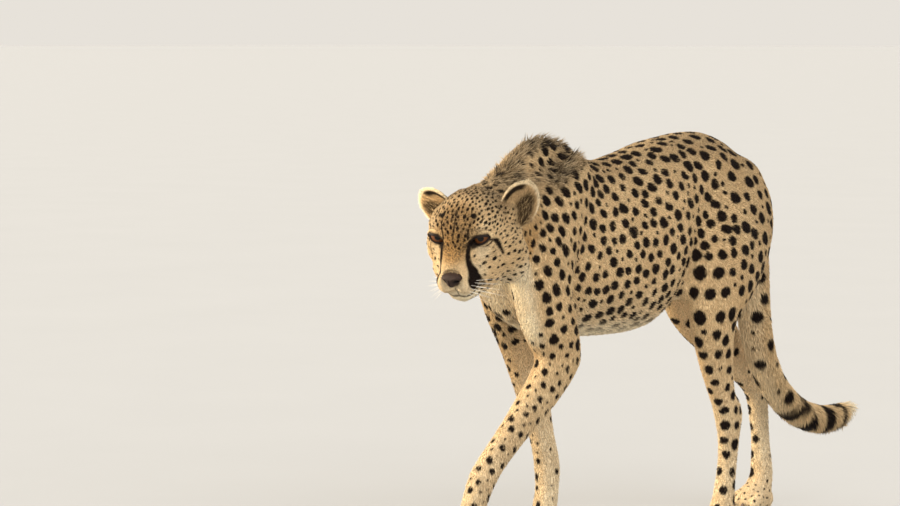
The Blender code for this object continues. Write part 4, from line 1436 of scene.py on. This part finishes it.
def nose_material():
    material, shade, surface = new_material("nose_leather", 0.56, Specular_IOR_Level=0.16)
    hollow, groove, wing = shade.parted(shade.attribute("hollow").outputs["Color"])
    cells = shade.node("ShaderNodeTexVoronoi", feature="DISTANCE_TO_EDGE")
    shade.fill(cells.inputs["Vector"], shade.node("ShaderNodeTexCoord").outputs["Object"])
    cells.inputs["Scale"].default_value = 850
    pebble = shade.ramp(cells.outputs["Distance"], 0.0, 0.16)
    leather = shade.mix(shade.noise(120, 3), tone(44, 31, 26), tone(72, 53, 44))
    # Painted highlight: the swellings over the nostrils are a little lighter.
    leather = shade.mix(shade.math("MULTIPLY", wing, 0.35), leather, tone(100, 78, 66))
    # Painted shade: the cracks between the pebbles are darker.
    leather = shade.mix(pebble, tone(22, 16, 15), leather)
    # Painted shade: the nostrils nearly black and the groove dark.
    leather = shade.mix(hollow, leather, tone(5, 4, 4))
    leather = shade.mix(shade.math("MULTIPLY", groove, 0.8), leather, tone(16, 12, 12))
    shade.fill(surface["Base Color"], leather)
    bump(shade, surface, pebble, 0.5, 0.0003)
    return material


def rim_material():
    material, shade, surface = new_material("eye_rim", 0.55, Specular_IOR_Level=0.15)
    folds = shade.noise(700, 3)
    shade.fill(surface["Base Color"], shade.mix(folds, tone(17, 12, 11), tone(44, 32, 28)))
    bump(shade, surface, folds, 0.35, 0.0003)
    return material


def claw_material():
    material, shade, surface = new_material("claw", 0.34, Specular_IOR_Level=0.5)
    growth = shade.noise(260, 3, stretch=(1.0, 1.0, 5.0))
    horn = shade.mix(growth, tone(74, 58, 46), tone(150, 128, 104))
    shade.fill(surface["Base Color"], horn)
    bump(shade, surface, growth, 0.25, 0.0003)
    return material


def whisker_material():
    material, shade, surface = new_material("whisker", 0.40, Specular_IOR_Level=0.5)
    pale = shade.mix(shade.noise(200, 2), tone(236, 226, 208), tone(250, 244, 232))
    shade.fill(surface["Base Color"], pale)
    return material


def floor_material():
    material, shade, surface = new_material("studio_floor", 0.85)
    grey = shade.mix(shade.noise(2.0, 3), tone(168, 171, 176), tone(172, 175, 180))
    shade.fill(surface["Base Color"], grey)
    return material


# ---------------------------------------------------------------- the coat over the skin


def grow_coat(places, normals, parts, ends):
    """The coat's measures and depth at each point, with a short face, a raised mane and a loose belly."""
    left = mirrored_to_left(seen_from(HEAD, places))
    head = parts["head"]
    mane = even_out(mane_share(places, normals, parts)[:, None], ends, 8)[:, 0]
    under = parts["trunk"] * smooth(-0.2, -0.8, normals[:, 2])
    crown = smooth(0.045, 0.085, left[:, 1]) * smooth(-0.005, 0.020, left[:, 2])
    by_eyes = at_face("short_lids", left)
    short = 1 - head * np.clip(0.40 * at_face("short_muzzle", left) + 0.55 * by_eyes, 0, 0.6)
    short = short + head * (0.45 * at_face("long_cheek", left) + 0.55 * crown)
    column = {name: along_table(COAT, number, parts) for number, name in enumerate(COAT_COLUMNS)}
    coat = {
        "length": column["length"] * short + MANE[0] * mane + BELLY[0] * under,
        "width": column["width"] * (0.65 + 0.35 * short) + 0.0003 * mane,
        "rise": column["rise"] * short + MANE[1] * mane + BELLY[1] * under,
        "stray": 0.08 + MANE[2] * mane + BELLY[2] * under + 0.10 * head * crown,
        "density": column["density"] / short**0.8,
        "mane": mane,
        "ear_tuft": np.zeros(len(places)),
        "spot_room": 1 - parts["ear_left"] - parts["ear_right"],
    }
    for side in SIDES:
        tuft = parts["ear_" + side] * ear_hollow(seen_from(ear_frame(side), places), SIDES[side])
        coat["ear_tuft"] += tuft
        for name, more in zip(("length", "rise", "stray"), EAR_TUFT):
            coat[name] += more * tuft
    depth = column["depth"] * short + MANE_DEPTH * mane + BELLY[1] * under
    depth = depth * smooth(0.0, 0.022, places[:, 2])
    return coat, depth * (1 - 0.75 * by_eyes * head)


def sink_skin(mesh, places, normals, depth):
    """Lowers the skin under the coat's tips, and further behind the nose leather."""
    leather = seen_from(HEAD @ Matrix.Translation(NOSE_PLACE), places)
    behind_leather = near(leather, (0, -0.002, 0), *LEATHER_COVERS)
    places = places - normals * depth[:, None]
    places = places + (BEHIND_LEATHER * behind_leather)[:, None] * (np.array(HEAD)[:3, 1])[None, :]
    places[:, 2] = np.maximum(places[:, 2], ABOVE_FLOOR)
    move_points(mesh, places)
    mesh.shade_smooth()
    return places, points_of(mesh)[1]


def bare_skin(places, normals, left):
    """Where no coat grows: in the eye sockets, under the nose leather and on the soles."""
    leather = seen_from(HEAD @ Matrix.Translation(NOSE_PLACE), places)
    soles = smooth(0.75, 0.90, -normals[:, 2]) * (1 - smooth(*SOLE_HEIGHTS, places[:, 2]))
    return np.clip(at_face("socket", left) + near(leather, (0, 0.006, 0), *LEATHER_BARES) + soles, 0, 1)


def measure_spots(coat, places, normals, parts, left):
    """Size and spacing of the spots at each point, and where there is room for them."""
    trunk, head = parts["trunk"], parts["head"]
    back = box_share("trunk", places, 1)
    haunch = parts["leg_hind_left"] + parts["leg_hind_right"] + trunk * smooth(0.66, 0.80, back)
    haunch = haunch * smooth(0.30, 0.40, places[:, 2])
    cheek = head * smooth(0.030, 0.050, left[:, 0]) * smooth(-0.022, -0.045, left[:, 2])
    brow = head * smooth(0.002, 0.022, left[:, 2])
    upper = trunk * smooth(0.45, 0.85, box_share("trunk", places, 2))
    back_top = trunk * smooth(0.45, 0.85, normals[:, 2])
    inner = inner_legs(normals, parts, 0.6)
    radius = along_table(SPOTS, 0, parts) * (1 + 0.34 * haunch) * (1 + 0.35 * cheek + 0.18 * brow)
    coat["radius"] = np.minimum(radius * (1 + 0.16 * upper), LARGEST_SPOT) * (1 - 0.10 * back_top)
    coat["longer"] = along_table(SPOTS, 1, parts) + 0.22 * back_top
    spacing = along_table(SPOTS, 2, parts) * (1 + 0.22 * haunch) * (1 + 0.75 * cheek - 0.06 * brow)
    coat["spacing"] = spacing * (1 + 0.9 * inner)
    breast = (trunk + parts["neck"]) * smooth(-0.55, -0.75, normals[:, 1]) * (1 - smooth(0.06, 0.14, back))
    coat["spot_room"] *= 1 - 0.9 * (at_face("few_spots", left) * head)
    coat["spot_room"] *= 1 - 0.6 * inner
    coat["spot_room"] *= 1 - breast


# ---------------------------------------------------------------- the animal


HEAD = head_frame()
HEAD_SOLID = solid_finder(("head", "eye_left", "eye_right"))[0]
FACE_LINES = face_lines()
TAIL_LINE = tail_line()

skin = drape_skin()
mesh = skin.data
places, normals = points_of(mesh)
ends = numbers(mesh.edges, "vertices", 2, np.int32)
parts = shares_of_parts(places, ends)
left = mirrored_to_left(seen_from(HEAD, places))
coat, depth = grow_coat(places, normals, parts, ends)
places, normals = sink_skin(mesh, places, normals, depth)
coat["normal"] = normals
coat["lie"] = unit(even_out(lie_of_coat(places, normals, parts), ends, 5))
bare = bare_skin(places, normals, left)
coat["density"] = coat["density"] * (1 - smooth(0.2, 0.6, bare))
measure_spots(coat, places, normals, parts, left)

surface = (numbers(mesh.loops, "vertex_index", 1, np.int32).reshape(-1, 3), places)
spots = lay_out_spots(surface, coat)
paint_points(mesh, "marks", markings(places, normals, parts, spots))
paint_points(mesh, "lie", coat["lie"] ** 2)
paint_points(mesh, "bare", np.repeat(bare[:, None], 3, axis=1))
corner_uv = unwrap_skin(surface, parts)
give_map(mesh, corner_uv)

colour_group = coat_colour_group()
streak_group = hair_streak_group()
mesh.materials.clear()
skin_finish = skin_material(colour_group, streak_group)
finished(skin, skin_finish, FLESH)

tufts = grow_tufts(surface, coat, parts, spots, corner_uv)
tuft_finish = tuft_material(colour_group)
for number in range(TUFT_PIECES):
    tuft_piece(number, tufts, tuft_finish)

eye_finish = eye_material()
for side in SIDES:
    make_eye(side, eye_finish)
make_eye_rims(rim_material())
make_eyelids(skin_finish, spots)
make_nose(nose_material())
claw_finish = claw_material()
for leg in LEGS:
    make_claws(leg, claw_finish)
make_whiskers(whisker_material())

# ---------------------------------------------------------------- floor, light and camera

FLOOR_REACH = 400.0
corners = FLOOR_REACH * np.array(((-1, -1, 0), (1, -1, 0), (1, 1, 0), (-1, 1, 0)))
floor = place_mesh("studio_floor", corners, np.array([(0, 1, 2, 3)]))
floor.data.materials.append(floor_material())
floor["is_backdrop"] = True

world = bpy.data.worlds.new("studio")
bpy.context.scene.world = world
world.use_nodes = True
background = world.node_tree.nodes["Background"].inputs
background["Color"].default_value = (1.0, 0.95, 0.875, 1.0)
background["Strength"].default_value = 0.80


def far_light(name, towards, strength, spread, colour):
    """A wide soft light from far off, even on the animal and the floor. Its spread is in degrees."""
    light = bpy.data.lights.new(name, "SUN")
    light.energy = strength
    light.angle = math.radians(spread)
    light.color = colour
    put_in_scene(name, light).rotation_euler = (-towards).to_track_quat("-Z", "Y").to_euler()


LENS = 117  # millimetres
SENSOR_WIDTH = 36
VIEW_AZIMUTH = 42.0  # degrees round from the front towards the animal's left
VIEW_DROP = 4.15  # degrees down from level
VIEW_DISTANCE = 5.10  # from the middle of the model
VIEW_ASIDE = 0.29  # to the left, as seen in the view
VIEW_HEIGHT = 0.90
look = turn("Z", VIEW_AZIMUTH)
view_right = look @ Vector((1, 0, 0))
view_ahead = look @ Vector((0, 1, 0))
middle = Vector((0, -0.1, 0))
up = Vector((0, 0, 1))
to_sun = -2.6 * view_right + 0.3 * view_ahead + 1.0 * up
to_front = 1.2 * view_right - 2.0 * view_ahead + 1.1 * up
far_light("sun_side", to_sun, strength=7.0, spread=14, colour=(1.0, 0.86, 0.64))
far_light("soft_front", to_front, strength=2.2, spread=70, colour=(1.0, 0.98, 0.95))

camera = bpy.data.cameras.new("camera")
camera.lens = LENS
camera.sensor_width = SENSOR_WIDTH
camera_thing = put_in_scene("camera", camera)
camera_thing.location = middle - VIEW_DISTANCE * view_ahead - VIEW_ASIDE * view_right + VIEW_HEIGHT * up
camera_thing.rotation_euler = (math.radians(90 - VIEW_DROP), 0, math.radians(VIEW_AZIMUTH))
bpy.context.scene.camera = camera_thing
bpy.context.scene.view_settings.view_transform = "Standard"
